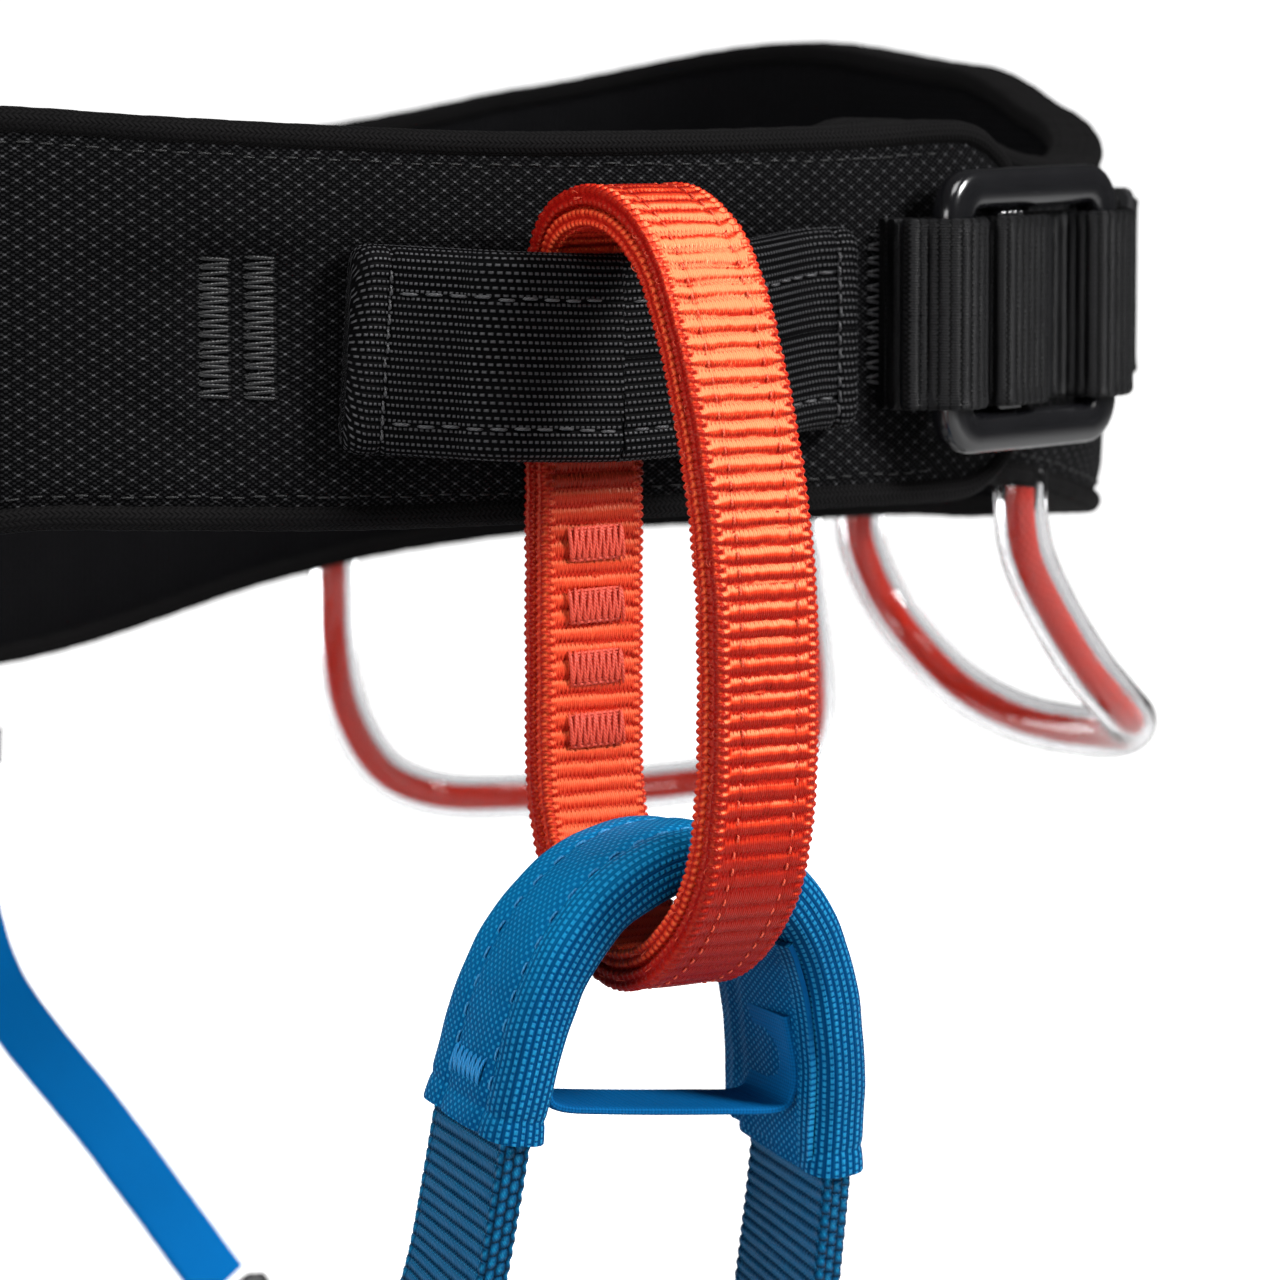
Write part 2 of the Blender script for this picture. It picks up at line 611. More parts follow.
class Texture:
    """A material under construction. Its coordinates are millimetres: along and across the
    webbing from the UV map, or x, y and height in the object for pieces without one."""

    def __init__(self, name, mapped=True):
        self.material = bpy.data.materials.new(name)
        self.material.use_nodes = True
        self.tree = self.material.node_tree
        if mapped:
            node = self.add("UVMap")
            node.uv_map = "mm"
            self.place = node.outputs[0]
        else:
            scale = self.add("VectorMath")
            scale.operation = "SCALE"
            scale.inputs[3].default_value = 1000.0
            self.tree.links.new(self.add("TexCoord").outputs["Object"], scale.inputs[0])
            self.place = scale.outputs[0]
        self.along, self.across, self.height = self.split(self.place)

    def add(self, kind):
        return self.tree.nodes.new(kind if kind.startswith("Shader") else {
            "UVMap": "ShaderNodeUVMap", "Noise": "ShaderNodeTexNoise"}.get(
                kind, "ShaderNode" + kind))

    def split(self, socket):
        node = self.add("SeparateXYZ")
        self.tree.links.new(socket, node.inputs[0])
        return [Term(self, output) for output in node.outputs]

    def put(self, socket, value):
        if isinstance(value, Term):
            self.tree.links.new(value.socket, socket)
        else:
            socket.default_value = (*value, 1.0) if isinstance(value, tuple) else value

    def math(self, operation, first, second=None, clamp=False):
        node = self.add("Math")
        node.operation = operation
        node.use_clamp = clamp
        self.put(node.inputs[0], first)
        if second is not None:
            self.put(node.inputs[1], second)
        return Term(self, node.outputs[0])

    def noise(self, scale, detail, at=None, rough=0.5):
        node = self.add("Noise")
        node.inputs["Scale"].default_value = scale
        node.inputs["Detail"].default_value = detail
        node.inputs["Roughness"].default_value = rough
        place = self.place
        if at:
            combine = self.add("CombineXYZ")
            self.put(combine.inputs[0], at[0])
            self.put(combine.inputs[1], at[1])
            place = combine.outputs[0]
        self.tree.links.new(place, node.inputs["Vector"])
        return Term(self, node.outputs["Fac"])

    def mix(self, amount, under, over):
        node = self.add("Mix")
        node.data_type = "RGBA"
        node.clamp_factor = True
        self.put(node.inputs[0], amount)
        self.put(node.inputs[6], under)
        self.put(node.inputs[7], over)
        return Term(self, node.outputs[2])

    def facing(self, direction):
        """How far the surface turns towards a direction, -1 to 1."""
        dot = self.add("VectorMath")
        dot.operation = "DOT_PRODUCT"
        self.tree.links.new(self.add("NewGeometry").outputs["Normal"], dot.inputs[0])
        dot.inputs[1].default_value = unit(direction)
        return Term(self, dot.outputs["Value"])

    def finish(self, colour, roughness, relief, depth, **others):
        """Connects the shader; depth is the relief's bump distance in millimetres."""
        bump = self.add("Bump")
        bump.inputs["Strength"].default_value = 1.0
        bump.inputs["Distance"].default_value = depth * MM
        self.put(bump.inputs["Height"], relief)
        others.update(Base_Color=colour, Roughness=roughness, Normal=Term(self, bump.outputs[0]))
        shader = self.tree.nodes["Principled BSDF"]
        for key, value in others.items():
            self.put(shader.inputs[key.replace("_", " ")], value)
        return self.material


def srgb(*channels):
    """Linear colour from 0-255 display values."""
    return tuple(x / 255 / 12.92 if x / 255 <= 0.04045 else ((x / 255 + 0.055) / 1.055) ** 2.4
                 for x in channels)


def darker(colour, factor):
    return tuple(x * factor for x in colour)


def ribbed_material(name, pitch, crest, shade, groove, tip, spec, tint, sheen_tint, yarn=0.34,
                    rough=0.36, edge=None, zigzag=0.24, groove_from=0.72, groove_depth=0.9,
                    satin=None, bump=0.20):
    """Webbing: warp yarns floating over thick weft ribs, darker and serrated in the grooves, with
    columns of beads along its edges (edge = where they start and end, how many, their pitch)."""
    tex = Texture(name)
    along, across = tex.along, tex.across
    strands = across.stripes(yarn)
    saw = ((across * (0.5 / yarn)).fract() - 0.5).abs() * 2.0
    drift = tex.noise(scale=0.5, detail=2.0) - 0.5
    rib = (along * (1 / pitch) + (saw - 0.5) * zigzag + drift * 0.10).fract()
    far = (rib - 0.5).abs() * 2.0       # 0 on the crest, 1 in the groove
    in_groove = far.ramp(groove_from, 1.0)
    tips = (far.ramp(0.50, 0.70) * (1.0 - far.ramp(0.74, 0.92)) * rib.ramp(0.5, 0.55)
            * saw.ramp(0.3, 0.9))
    fleck = tex.noise(scale=1.0, detail=1.0, at=(along * (0.55 / pitch), across * 1.6))
    streak = tex.noise(scale=1.0, detail=2.0, at=(along * 0.35, across * (1.1 / yarn)))
    patch = tex.noise(scale=0.16, detail=3.0)
    # rib shading, wear patches, gaps between yarns, light and dark yarns, yarn tips, grooves
    base = tex.mix(far.ramp(0.15, 0.72), crest, shade)
    base = tex.mix(patch.ramp(0.3, 0.75) * 0.25, base, shade)
    base = tex.mix(strands.ramp(0.5, 0.0) * 0.35, base, groove)
    base = tex.mix(streak.ramp(0.55, 0.8) * 0.30, base, tip)
    base = tex.mix(streak.ramp(0.48, 0.2) * 0.30, base, shade)
    base = tex.mix(tips * 0.8, base, tip)
    gaps = in_groove * groove_depth + fleck.ramp(0.66, 0.8) * 0.45 * groove_depth
    base = tex.mix(gaps.clamp(), base, groove)
    relief = strands * 0.5 + (1.0 - in_groove) * 0.5
    if satin:
        # long floats catch the light on the faces turned towards a direction
        facing = tex.facing(satin["direction"])
        base = tex.mix(facing.ramp(*satin["bright_range"]) * 0.75 * (1.0 - in_groove * 0.6),
                       base, satin["bright"])
    if edge:
        start, end, columns, bead_pitch = edge
        out = across.abs()
        inside = out.ramp(start - 0.1, start + 0.15) * out.ramp(end + 0.1, end - 0.15)
        column = (out - start) * (columns / (end - start))
        bead = (((along * (1 / bead_pitch) + column.floor() * 0.5) * pi).sin().abs()
                * (column * pi).sin().abs())
        twist = ((along * 1.6 + out * 2.2) * pi).sin().abs()
        side = tex.mix(bead.ramp(0.0, 0.45), groove, tex.mix(0.5, shade, crest))
        side = tex.mix(bead.ramp(0.5, 0.95) * (twist * 0.4 + 0.2), side, tip)
        base = tex.mix(inside, base, side)
        relief = relief * (1.0 - inside) + inside * (bead * 2.2 + twist * 0.2)
    if satin:
        base = tex.mix(facing.ramp(*satin["deep_range"]) * 0.93, base, satin["deep"])
        # darker stretch of the rear strand; y and z are metres in the frame
        _, y, z = tex.split(tex.add("TexCoord").outputs["Object"])
        under = z.ramp(0.010, 0.028) * z.ramp(0.060, 0.050) * y.ramp(0.034, 0.042)
        base = tex.mix(under * 0.85, base, (0.150, 0.0025, 0.0015))
    fuzz = tex.noise(scale=6.0, detail=3.0)
    return tex.finish(base, fuzz * 0.16 + in_groove * 0.2 + (rough - 0.08),
                      relief + fuzz * 0.12, bump, Sheen_Weight=0.0, Sheen_Roughness=0.45,
                      Sheen_Tint=sheen_tint, Specular_IOR_Level=spec * (1.0 - in_groove * 0.8),
                      Specular_Tint=tint)


def thread_material(name, dark, light, rough, sheen=0.0):
    tex = Texture(name)
    twist = (tex.along * 5.2 + tex.across * 6.0).sin().abs()
    fuzz = tex.noise(scale=3.0, detail=2.0)
    base = tex.mix(twist * 0.6 + fuzz * 0.3, dark, light)
    return tex.finish(base, fuzz * 0.2 + (rough - 0.1), twist * 0.6 + fuzz * 0.2, 0.09,
                      Sheen_Weight=sheen, Sheen_Tint=light)


def belt_material():
    """Jacquard: light diamonds in staggered cells, drawn by a fine crossing twill."""
    tex = Texture("m_belt_fabric")
    twill_along, twill_across, cell_twills = 1.14, 0.74, 3
    wobble = (tex.noise(scale=0.25, detail=2.0) - 0.5) * 0.7
    along, across = tex.along + wobble, tex.across + wobble * 0.6
    fine = along.swing(twill_along) * across.swing(twill_across) * 0.5 + 0.5
    cell = (along.swing(twill_along * cell_twills)
            * across.swing(twill_across * cell_twills)).ramp(0.15, 0.95)
    yarn = tex.across.stripes(0.30)
    fleck = tex.noise(scale=2.6, detail=3.0)
    cloud = tex.noise(scale=0.05, detail=3.0)
    dark, middle, light = (0.0008, 0.0008, 0.0010), (0.0150, 0.0150, 0.0160), (0.088, 0.088, 0.094)
    # twill, diamonds, dark clouds, lint
    base = tex.mix(fine.ramp(0.40, 0.85) * (fleck * 0.7 + 0.5), dark, middle)
    base = tex.mix(fine.ramp(0.35, 0.9) * cell * (fleck * 1.2 + 0.1), base, light)
    base = tex.mix(cloud.ramp(0.35, 0.7) * 0.35, base, tex.mix(0.6, base, dark))
    lint = tex.noise(scale=0.8, detail=1.0, rough=0.2).ramp(0.82, 0.86)
    base = tex.mix(lint * 0.3, base, (0.05, 0.05, 0.052))
    relief = fine.ramp(0.2, 0.9) * (cell * 0.6 + 0.4) + yarn * 0.15 + fleck * 0.2
    return tex.finish(base, fleck * 0.15 + 0.55, relief, 0.30, Sheen_Weight=0.01,
                      Sheen_Roughness=0.5, Specular_IOR_Level=cell * fine * 0.16 + 0.015)


def lining_material():
    """Knitted spacer mesh: staggered rounded holes between lighter yarns."""
    tex = Texture("m_lining")
    ground, yarn = (0.0022, 0.0022, 0.0026), (0.0085, 0.0085, 0.0095)
    hole = (tex.along.swing(2.1) * tex.across.swing(2.4)).abs().ramp(0.35, 0.85)
    loops = (tex.along * (pi / 0.55) + (tex.across * 6.0).sin() * 0.6).sin().abs()
    fuzz = tex.noise(scale=3.0, detail=3.0)
    cloud = tex.noise(scale=0.06, detail=2.0)
    base = tex.mix(loops * 0.6 + fuzz * 0.3, ground, yarn)
    base = tex.mix(hole * 0.75, base, darker(ground, 0.35))
    base = tex.mix(cloud * 0.4, base, ground)
    return tex.finish(base, fuzz * 0.1 + 0.8, (1.0 - hole) * 0.7 + loops * 0.3 + fuzz * 0.1, 0.3,
                      Sheen_Weight=0.0, Specular_IOR_Level=0.04)


def binding_material():
    """Knitted edging with chevrons."""
    tex = Texture("m_binding")
    bend = ((tex.across * 0.8).fract() - 0.5).abs() * 5.0
    chevron = (tex.along * (pi / 0.85) + bend).sin().abs()
    loops = tex.across.stripes(0.8)
    fuzz = tex.noise(scale=4.0, detail=3.0)
    cloud = tex.noise(scale=0.08, detail=2.0)
    base = tex.mix(chevron * 0.55 + loops * 0.25 + fuzz * 0.2,
                   (0.0008, 0.0008, 0.0009), (0.0085, 0.0080, 0.0083))
    base = tex.mix(cloud.ramp(0.4, 0.8) * 0.35, base, (0.003, 0.003, 0.0032))
    return tex.finish(base, 0.7, chevron * 0.6 + loops * 0.3 + fuzz * 0.2, 0.25,
                      Sheen_Weight=0.01, Sheen_Roughness=0.55, Specular_IOR_Level=0.03)


TIE_ROW_PITCH, TIE_DASH_PITCH = 1.06, 0.82


def tie_material():
    """Rows of dashes along the band; the rows themselves are modelled."""
    tex = Texture("m_tie_band")
    line = tex.across.swing(2 * TIE_ROW_PITCH).abs()
    row = (tex.across * (1 / TIE_ROW_PITCH) + 0.5).floor()
    dash = (tex.along * (pi / TIE_DASH_PITCH) + row * 0.9).sin().abs()
    gate = line.ramp(0.72, 0.97) * dash.ramp(0.35, 0.85)
    fuzz = tex.noise(scale=2.5, detail=3.0)
    patch = tex.noise(scale=0.12, detail=2.0)
    base = tex.mix(gate * (fuzz * 0.9 + 0.15), (0.0007, 0.0007, 0.0009), (0.074, 0.074, 0.080))
    base = tex.mix(patch.ramp(0.4, 0.75) * 0.35, base, (0.003, 0.003, 0.0035))
    return tex.finish(base, fuzz * 0.2 - gate * 0.12 + 0.5,
                      gate * 0.8 + line * 0.25 + fuzz * 0.1, 0.16,
                      Sheen_Weight=0.0, Specular_IOR_Level=gate * 0.3 + 0.03)


def sleeve_material():
    """Staggered dots, with corded rows of beads in a band round the section's -14.4 mm."""
    tex = Texture("m_blue_sleeve")
    along, across = tex.along, tex.across
    dots = (along.swing(1.25) * across.swing(1.15)).ramp(0.05, 0.9)
    fine = across.stripes(0.42)
    fuzz = tex.noise(scale=2.2, detail=3.0)
    cloud = tex.noise(scale=0.07, detail=3.0)
    crease = tex.noise(scale=0.3, detail=2.0, at=(along * 1.0, across * 0.25))
    low, middle, high = (0.0006, 0.034, 0.118), (0.0010, 0.098, 0.285), (0.010, 0.330, 0.640)
    band = (across + 14.4).abs().ramp(8.2, 7.4)
    ridge = across.swing(2 * SLEEVE_RIB).abs()
    row = (across * (1 / SLEEVE_RIB) + 0.5).floor()
    beads = (along * (pi / 0.95) + row * 1.3).sin().abs()
    bead = ridge.ramp(0.55, 0.95) * beads.ramp(0.2, 0.8)
    dots = dots * (1.0 - band) + bead * band
    # ground, valleys between cords, dots, dark clouds, light on the upper faces
    base = tex.mix(fine * 0.5 + fuzz * 0.5, low, middle)
    base = tex.mix(band * ridge.ramp(0.75, 0.35) * 0.5, base, darker(low, 0.6))
    base = tex.mix(dots * (fuzz * 1.0 + 0.15), base, high)
    base = tex.mix(cloud.ramp(0.35, 0.75) * 0.30, base, low)
    upward = tex.facing((-0.25, -0.15, 1.0)).ramp(0.25, 0.95)
    base = tex.mix(upward * (dots * 0.35 + 0.25), base, (0.006, 0.34, 0.72))
    return tex.finish(base, fuzz * 0.15 - dots * 0.1 + 0.55,
                      dots * 0.6 + fine * 0.25 + fuzz * 0.15 + crease * 0.5, 0.2,
                      Sheen_Weight=0.0, Specular_IOR_Level=dots * 0.5 + 0.05,
                      Specular_Tint=(0.25, 0.62, 1.0))


def riser_material():
    """Elastic: fine lengthwise lines crossed by finer ones."""
    tex = Texture("m_riser")
    lines = tex.across.stripes(0.62)
    cross = tex.along.stripes(0.5)
    fuzz = tex.noise(scale=2.0, detail=3.0)
    cloud = tex.noise(scale=0.05, detail=2.0)
    base = tex.mix(lines * 0.4 + fuzz * 0.4, srgb(0, 92, 160), srgb(2, 122, 200))
    base = tex.mix(cloud * 0.35, base, srgb(0, 98, 170))
    return tex.finish(base, fuzz * 0.15 + 0.5, lines * 0.5 + cross * 0.3 + fuzz * 0.1, 0.08,
                      Sheen_Weight=0.0, Specular_IOR_Level=0.12, Specular_Tint=(0.25, 0.62, 1.0))


def ribbon_material():
    tex = Texture("m_blue_ribbon")
    weave = tex.along.stripes(0.55) * 0.5 + tex.across.stripes(0.5) * 0.5
    fuzz = tex.noise(scale=2.4, detail=3.0)
    base = tex.mix(weave * 0.6 + fuzz * 0.4, srgb(0, 52, 95), srgb(6, 105, 170))
    return tex.finish(base, fuzz * 0.15 + 0.6, weave * 0.6 + fuzz * 0.15, 0.12,
                      Sheen_Weight=0.0, Specular_IOR_Level=0.12, Specular_Tint=(0.25, 0.62, 1.0))


def metal_material():
    """Glossy black coating with faint waviness and fine lengthwise scratches."""
    tex = Texture("m_buckle")
    scratch = tex.noise(scale=0.9, detail=3.0, at=(tex.along * 0.12, tex.across * 3.0))
    fine = tex.noise(scale=3.0, detail=2.0)
    smear = tex.noise(scale=0.10, detail=2.0)
    scratch = scratch.ramp(0.66, 0.72)
    base = tex.mix(scratch * 0.35 + smear * 0.2, (0.0045, 0.0045, 0.0055), (0.022, 0.022, 0.026))
    return tex.finish(base, smear * 0.14 + scratch * 0.14 + fine * 0.05 + 0.10,
                      fine * 0.3 + smear * 0.7, 0.03, Metallic=0.15, Specular_IOR_Level=0.6,
                      Coat_Weight=0.5, Coat_Roughness=0.12)


def plastic_material():
    tex = Texture("m_black_plastic")
    grain = tex.noise(scale=2.5, detail=4.0)
    smear = tex.noise(scale=0.15, detail=2.0)
    base = tex.mix(grain * 0.4 + smear * 0.3, (0.008, 0.008, 0.009), (0.022, 0.022, 0.024))
    return tex.finish(base, grain * 0.12 + smear * 0.1 + 0.36, grain, 0.05)


def tube_material():
    tex = Texture("m_clear_tube")
    haze = tex.noise(scale=0.2, detail=3.0)
    scratch = tex.noise(scale=1.0, detail=2.0, at=(tex.along * 0.2, tex.across * 2.5))
    scratch = scratch.ramp(0.62, 0.7)
    base = tex.mix(haze * 0.5, (0.66, 0.66, 0.67), (0.56, 0.56, 0.57))
    return tex.finish(base, haze * 0.05 + scratch * 0.10 + 0.03, haze * 0.6 + scratch * 0.2,
                      0.04, IOR=1.35, Transmission_Weight=0.995)


def cord_material():
    """Round braid: two crossing sets of strands."""
    tex = Texture("m_red_cord")
    along, across = tex.along, tex.across
    one = ((along * 0.55 + across * 0.9) * pi).sin().abs()
    other = ((along * 0.55 - across * 0.9) * pi).sin().abs()
    top = tex.math("MAXIMUM", one, other)
    fuzz = tex.noise(scale=2.5, detail=2.0)
    base = tex.mix(top * 0.7 + fuzz * 0.3, srgb(200, 18, 8), srgb(252, 60, 36))
    return tex.finish(base, fuzz * 0.1 + 0.6, top * 0.8 + fuzz * 0.1, 0.2,
                      Sheen_Weight=0.0, Specular_IOR_Level=0.10)


def foam_material():
    tex = Texture("m_foam", mapped=False)
    cells = tex.noise(scale=1.6, detail=3.0)
    big = tex.noise(scale=0.3, detail=2.0)
    base = tex.mix(cells, (0.03, 0.03, 0.033), (0.075, 0.075, 0.08))
    return tex.finish(base, big * 0.08 + 0.88, cells, 0.2)


def inner_webbing_material():
    tex = Texture("m_inner_webbing", mapped=False)
    rib = ((tex.height * 2.2).sin().abs() * 0.5
           + ((tex.along + tex.across) * 1.9).sin().abs() * 0.5)
    fuzz = tex.noise(scale=1.5, detail=2.0)
    base = tex.mix(rib * 0.6 + fuzz * 0.4, (0.004, 0.004, 0.005), (0.02, 0.02, 0.022))
    return tex.finish(base, fuzz * 0.1 + 0.7, rib, 0.15)


ORANGE = dict(pitch=LOOP_PITCH, sheen_tint=(1.0, 0.45, 0.25), tint=(1.0, 0.55, 0.35),
              edge=(7.3, 11.5, 2, LOOP_PITCH / 2), groove_from=0.80, groove_depth=0.8, bump=0.16)
BLUE = dict(pitch=CROSS_PITCH, sheen_tint=(0.3, 0.6, 1.0), tint=(0.25, 0.65, 1.0))
MATERIAL = {
    "orange": ribbed_material(
        "m_orange_webbing", crest=(0.88, 0.070, 0.020), shade=(0.74, 0.026, 0.008),
        groove=(0.42, 0.008, 0.004), tip=(1.0, 0.24, 0.08), spec=0.35, zigzag=0.36,
        satin=dict(direction=(0.0, -0.819, 0.574), bright=(1.0, 0.34, 0.145),
                   bright_range=(0.88, 0.995), deep=(0.34, 0.0040, 0.003),
                   deep_range=(0.94, 0.69)), **ORANGE),
    "orange_in": ribbed_material(
        "m_orange_inner", crest=(0.82, 0.072, 0.026), shade=(0.68, 0.026, 0.010),
        groove=(0.40, 0.008, 0.004), tip=(1.0, 0.22, 0.07), spec=0.3, rough=0.38, zigzag=0.30,
        satin=dict(direction=(0.0, -0.707, 0.707), bright=(0.95, 0.16, 0.06),
                   bright_range=(0.70, 1.0), deep=(0.42, 0.008, 0.004),
                   deep_range=(0.50, -0.2)), **ORANGE),
    "blue": ribbed_material(
        "m_blue_webbing", crest=(0.0016, 0.110, 0.270), shade=(0.0008, 0.046, 0.125),
        groove=(0.0002, 0.010, 0.032), tip=(0.010, 0.26, 0.50), spec=0.28,
        edge=(8.4, 14.5, 4, CROSS_PITCH), **BLUE),
    "blue_thin": ribbed_material(
        "m_blue_webbing_thin", crest=(0.0016, 0.100, 0.250), shade=(0.0008, 0.046, 0.125),
        groove=(0.0002, 0.008, 0.026), tip=(0.012, 0.20, 0.40), spec=0.45,
        edge=(9.2, 11.0, 1, CROSS_PITCH), **BLUE),
    "black": ribbed_material(
        "m_black_webbing", BLACK_PITCH, crest=(0.0060, 0.0060, 0.0068),
        shade=(0.0030, 0.0030, 0.0034), groove=(0.0006, 0.0006, 0.0008),
        tip=(0.020, 0.020, 0.022), spec=0.16, tint=(1, 1, 1), sheen_tint=(1, 1, 1), yarn=0.4,
        rough=0.42),
    "t_black": thread_material("m_thread_black", dark=(0.0010, 0.0010, 0.0011),
                               light=(0.005, 0.005, 0.0055), rough=0.5),
    "t_dark": thread_material("m_thread_dark", dark=(0.0016, 0.0016, 0.0018),
                              light=(0.012, 0.012, 0.013), rough=0.36),
    "t_grey": thread_material("m_thread_grey", dark=(0.006, 0.006, 0.007),
                              light=(0.075, 0.075, 0.080), rough=0.42),
    "t_orange": thread_material("m_thread_orange", dark=(0.66, 0.040, 0.018),
                                light=(0.94, 0.150, 0.065), rough=0.45),
    "t_orange_deep": thread_material("m_thread_orange_deep", dark=(0.46, 0.018, 0.010),
                                     light=(0.86, 0.105, 0.050), rough=0.5),
    "t_blue": thread_material("m_thread_blue", dark=(0.004, 0.12, 0.33),
                              light=(0.05, 0.38, 0.72), rough=0.45, sheen=0.2),
    "t_blue_dark": thread_material("m_thread_blue_dark", dark=(0.001, 0.11, 0.34),
                                   light=(0.008, 0.34, 0.74), rough=0.42),
    "belt": belt_material(),
    "lining": lining_material(),
    "binding": binding_material(),
    "tie": tie_material(),
    "sleeve": sleeve_material(),
    "riser": riser_material(),
    "ribbon": ribbon_material(),
    "metal": metal_material(),
    "plastic": plastic_material(),
    "tube": tube_material(),
    "cord": cord_material(),
    "foam": foam_material(),
    "hidden": inner_webbing_material(),
}


# ================================================================ padded panels

class Pad:
    """A padded strip: run goes along it, z up, off out of its outer face."""

    def __init__(self, degrees, xy, top, low, corner):
        middle = xy(degrees, np.full(len(degrees), -PAD_THICK / 2))
        self.degrees, self.xy, self.corner = degrees, xy, corner
        self.run = length_of(middle)
        self.total = self.run[-1]
        self.top_edge, self.low_edge = top, low

    def corner_drop(self, run):
        inset = np.clip(np.minimum(run, self.total - run), 0, self.corner)
        return self.corner - np.sqrt(np.maximum(self.corner ** 2 - (self.corner - inset) ** 2, 0))

    def degrees_at(self, run):
        return np.interp(run, self.run, self.degrees)

    def run_at(self, degrees):
        return float(np.interp(degrees, self.degrees, self.run))

    def top(self, run):
        return self.top_edge(self.degrees_at(run)) - self.corner_drop(run)

    def low(self, run):
        return self.low_edge(self.degrees_at(run)) + self.corner_drop(run)

    def hems(self, run):
        return self.low(run) + HEM, self.top(run) - HEM

    def at(self, run, z, off):
        run, z, off = np.broadcast_arrays(*(np.asarray(x, float) for x in (run, z, off)))
        xy = self.xy(self.degrees_at(run.ravel()), off.ravel())
        return np.concatenate([xy, z.ravel()[:, None]], 1).reshape(*run.shape, 3)

    def stations(self, step, fine=0.7):
        ends = np.concatenate([[0, 0.12, 0.35], np.arange(0.8, self.corner, fine)])
        inner = np.linspace(self.corner, self.total - self.corner,
                            int((self.total - 2 * self.corner) / step))
        return np.concatenate([ends, inner, (self.total - ends)[::-1]])


def edge_curve(column):
    degrees, edge = BELT_EDGE[:, 0], BELT_EDGE[:, column]
    last = len(edge) - 1

    def height(at):
        i = np.clip(np.searchsorted(degrees, at) - 1, 0, last - 1)
        f = np.clip((at - degrees[i]) / (degrees[i + 1] - degrees[i]), 0, 1)
        return spline(edge[np.maximum(i - 1, 0)], edge[i], edge[i + 1],
                      edge[np.minimum(i + 2, last)], f)
    return height


belt = Pad(np.linspace(BELT_START, BELT_END, 1600),
           lambda degrees, off: waist_xy(degrees, np.asarray(off) - tuck(degrees)),
           edge_curve(1), edge_curve(2), BELT_CORNER)
TACK_MIDDLE = (belt.run_at(343.0) + belt.run_at(347.0)) / 2     # the belt's double bar tack


def pillow(z, low, high, hem, crown):
    """A padded face's swell, pulled in by hem at its edges, and its 0 to 1 arch."""
    edge = np.minimum(z - low, high - z)
    arch = np.sin(pi * np.clip((z - low) / np.maximum(high - low, 1), 0, 1)) ** 0.6
    return -hem + hem * ease(edge / 5.0) + crown * arch, arch


def flattened(puff, limit, amount):
    return puff * (1 - amount) + np.minimum(puff, limit) * amount


def flat_face(run, z, low, high):
    return 0.0 * z


def belt_puff(run, z, low, high):
    """How far the belt's outer face stands out: crowned, pulled in at its hems, flat under the
    webbing and dented round the bar tack."""
    degrees = belt.degrees_at(run)
    puff, arch = pillow(z, low, high, hem=0.75, crown=1.15)
    puff = puff + 0.28 * ripple2(run * 0.075, z * 0.10, 3.0) * arch
    front = np.maximum(window(degrees, 330, 396, 8), window(degrees, 12, 94, 6))
    puff = flattened(puff, 0.12, window(z, -22.5, 13.5, 5.0) * front)
    # room for the strap keeper's travel
    keeper = window(degrees, 48.5, 59.5, 2.0) * window(z, -20.5, 19.0, 3.0)
    puff = flattened(puff, -0.40, keeper)
    # the load webbing under the shell shows as a soft step
    inner = ease((degrees - 74) / 6) * (1 - ease((degrees - 330) / 8))
    step = ease((z + 16.5) / 2.5) * (1 - ease((z - 12.5) / 2.5))
    puff = puff + 0.22 * inner * (step - 0.4)
    # dent round the bar tack, with puckers radiating from it
    beside, above = run - TACK_MIDDLE, z - 0.5
    dent = (gauss(np.maximum(np.abs(beside) - 4.5, 0), 3.2)
            * gauss(np.maximum(np.abs(above) - 9, 0), 3.0))
    puff = puff - 1.15 * dent
    radius = np.hypot(beside, above / 1.5)
    puff = puff + 0.30 * np.sin(np.arctan2(above, beside) * 11 + 0.8) * gauss(radius - 11.0, 4.0)
    # slanting crease below the tack
    over = (beside + 11.0) * 0.55 + (above + 13.0) * 0.83
    along = (beside + 11.0) * 0.83 - (above + 13.0) * 0.55
    puff = puff - 0.85 * gauss(over, 2.2) * gauss(along, 9.0)
    return (puff - 0.35 * gauss(run - belt.run_at(336), 3.0) * gauss(z + 15, 9)
            + 0.25 * gauss(run - belt.run_at(333), 5) * arch)


def belt_lining_puff(run, z, low, high):
    puff = pillow(z, low, high, hem=0.6, crown=0.9)[0] + 0.15 * ripple2(run * 0.08, z * 0.1, 6.0)
    # the belt's right end lies on its left one here
    return flattened(puff, 0.0, window(belt.degrees_at(run), 348, 396, 6))


def leg_puff(run, z, low, high):
    puff = pillow(z, low, high, hem=0.7, crown=1.0)[0] + 0.25 * ripple2(run * 0.08, z * 0.1, 5.0)
    return flattened(puff, 0.15, window(z - (low + high) / 2, -15, 15, 4.5))


def leg_lining_puff(run, z, low, high):
    return pillow(z, low, high, hem=0.6, crown=1.0)[0] + 0.2 * ripple2(run * 0.07, z * 0.1, 8.0)


def layer(pad, name, outer, inner, material, step, rows, outer_puff=flat_face,
          inner_puff=flat_face):
    """One sewn layer between two distances inside the pad's outer face."""
    run = pad.stations(step)
    low, high = (z[:, None] for z in pad.hems(run))
    z = low + (high - low) * np.linspace(0, 1, rows)[None, :]
    grid_run = np.broadcast_to(run[:, None], z.shape)
    front = pad.at(grid_run, z, -outer + outer_puff(grid_run, z, low, high))
    back = pad.at(grid_run, z, -inner - inner_puff(grid_run, z, low, high))[:, ::-1]
    return make_grid(name, np.concatenate([front, back], axis=1), run,
                     np.concatenate([z, z[:, ::-1], z[:, :1]], axis=1), material)


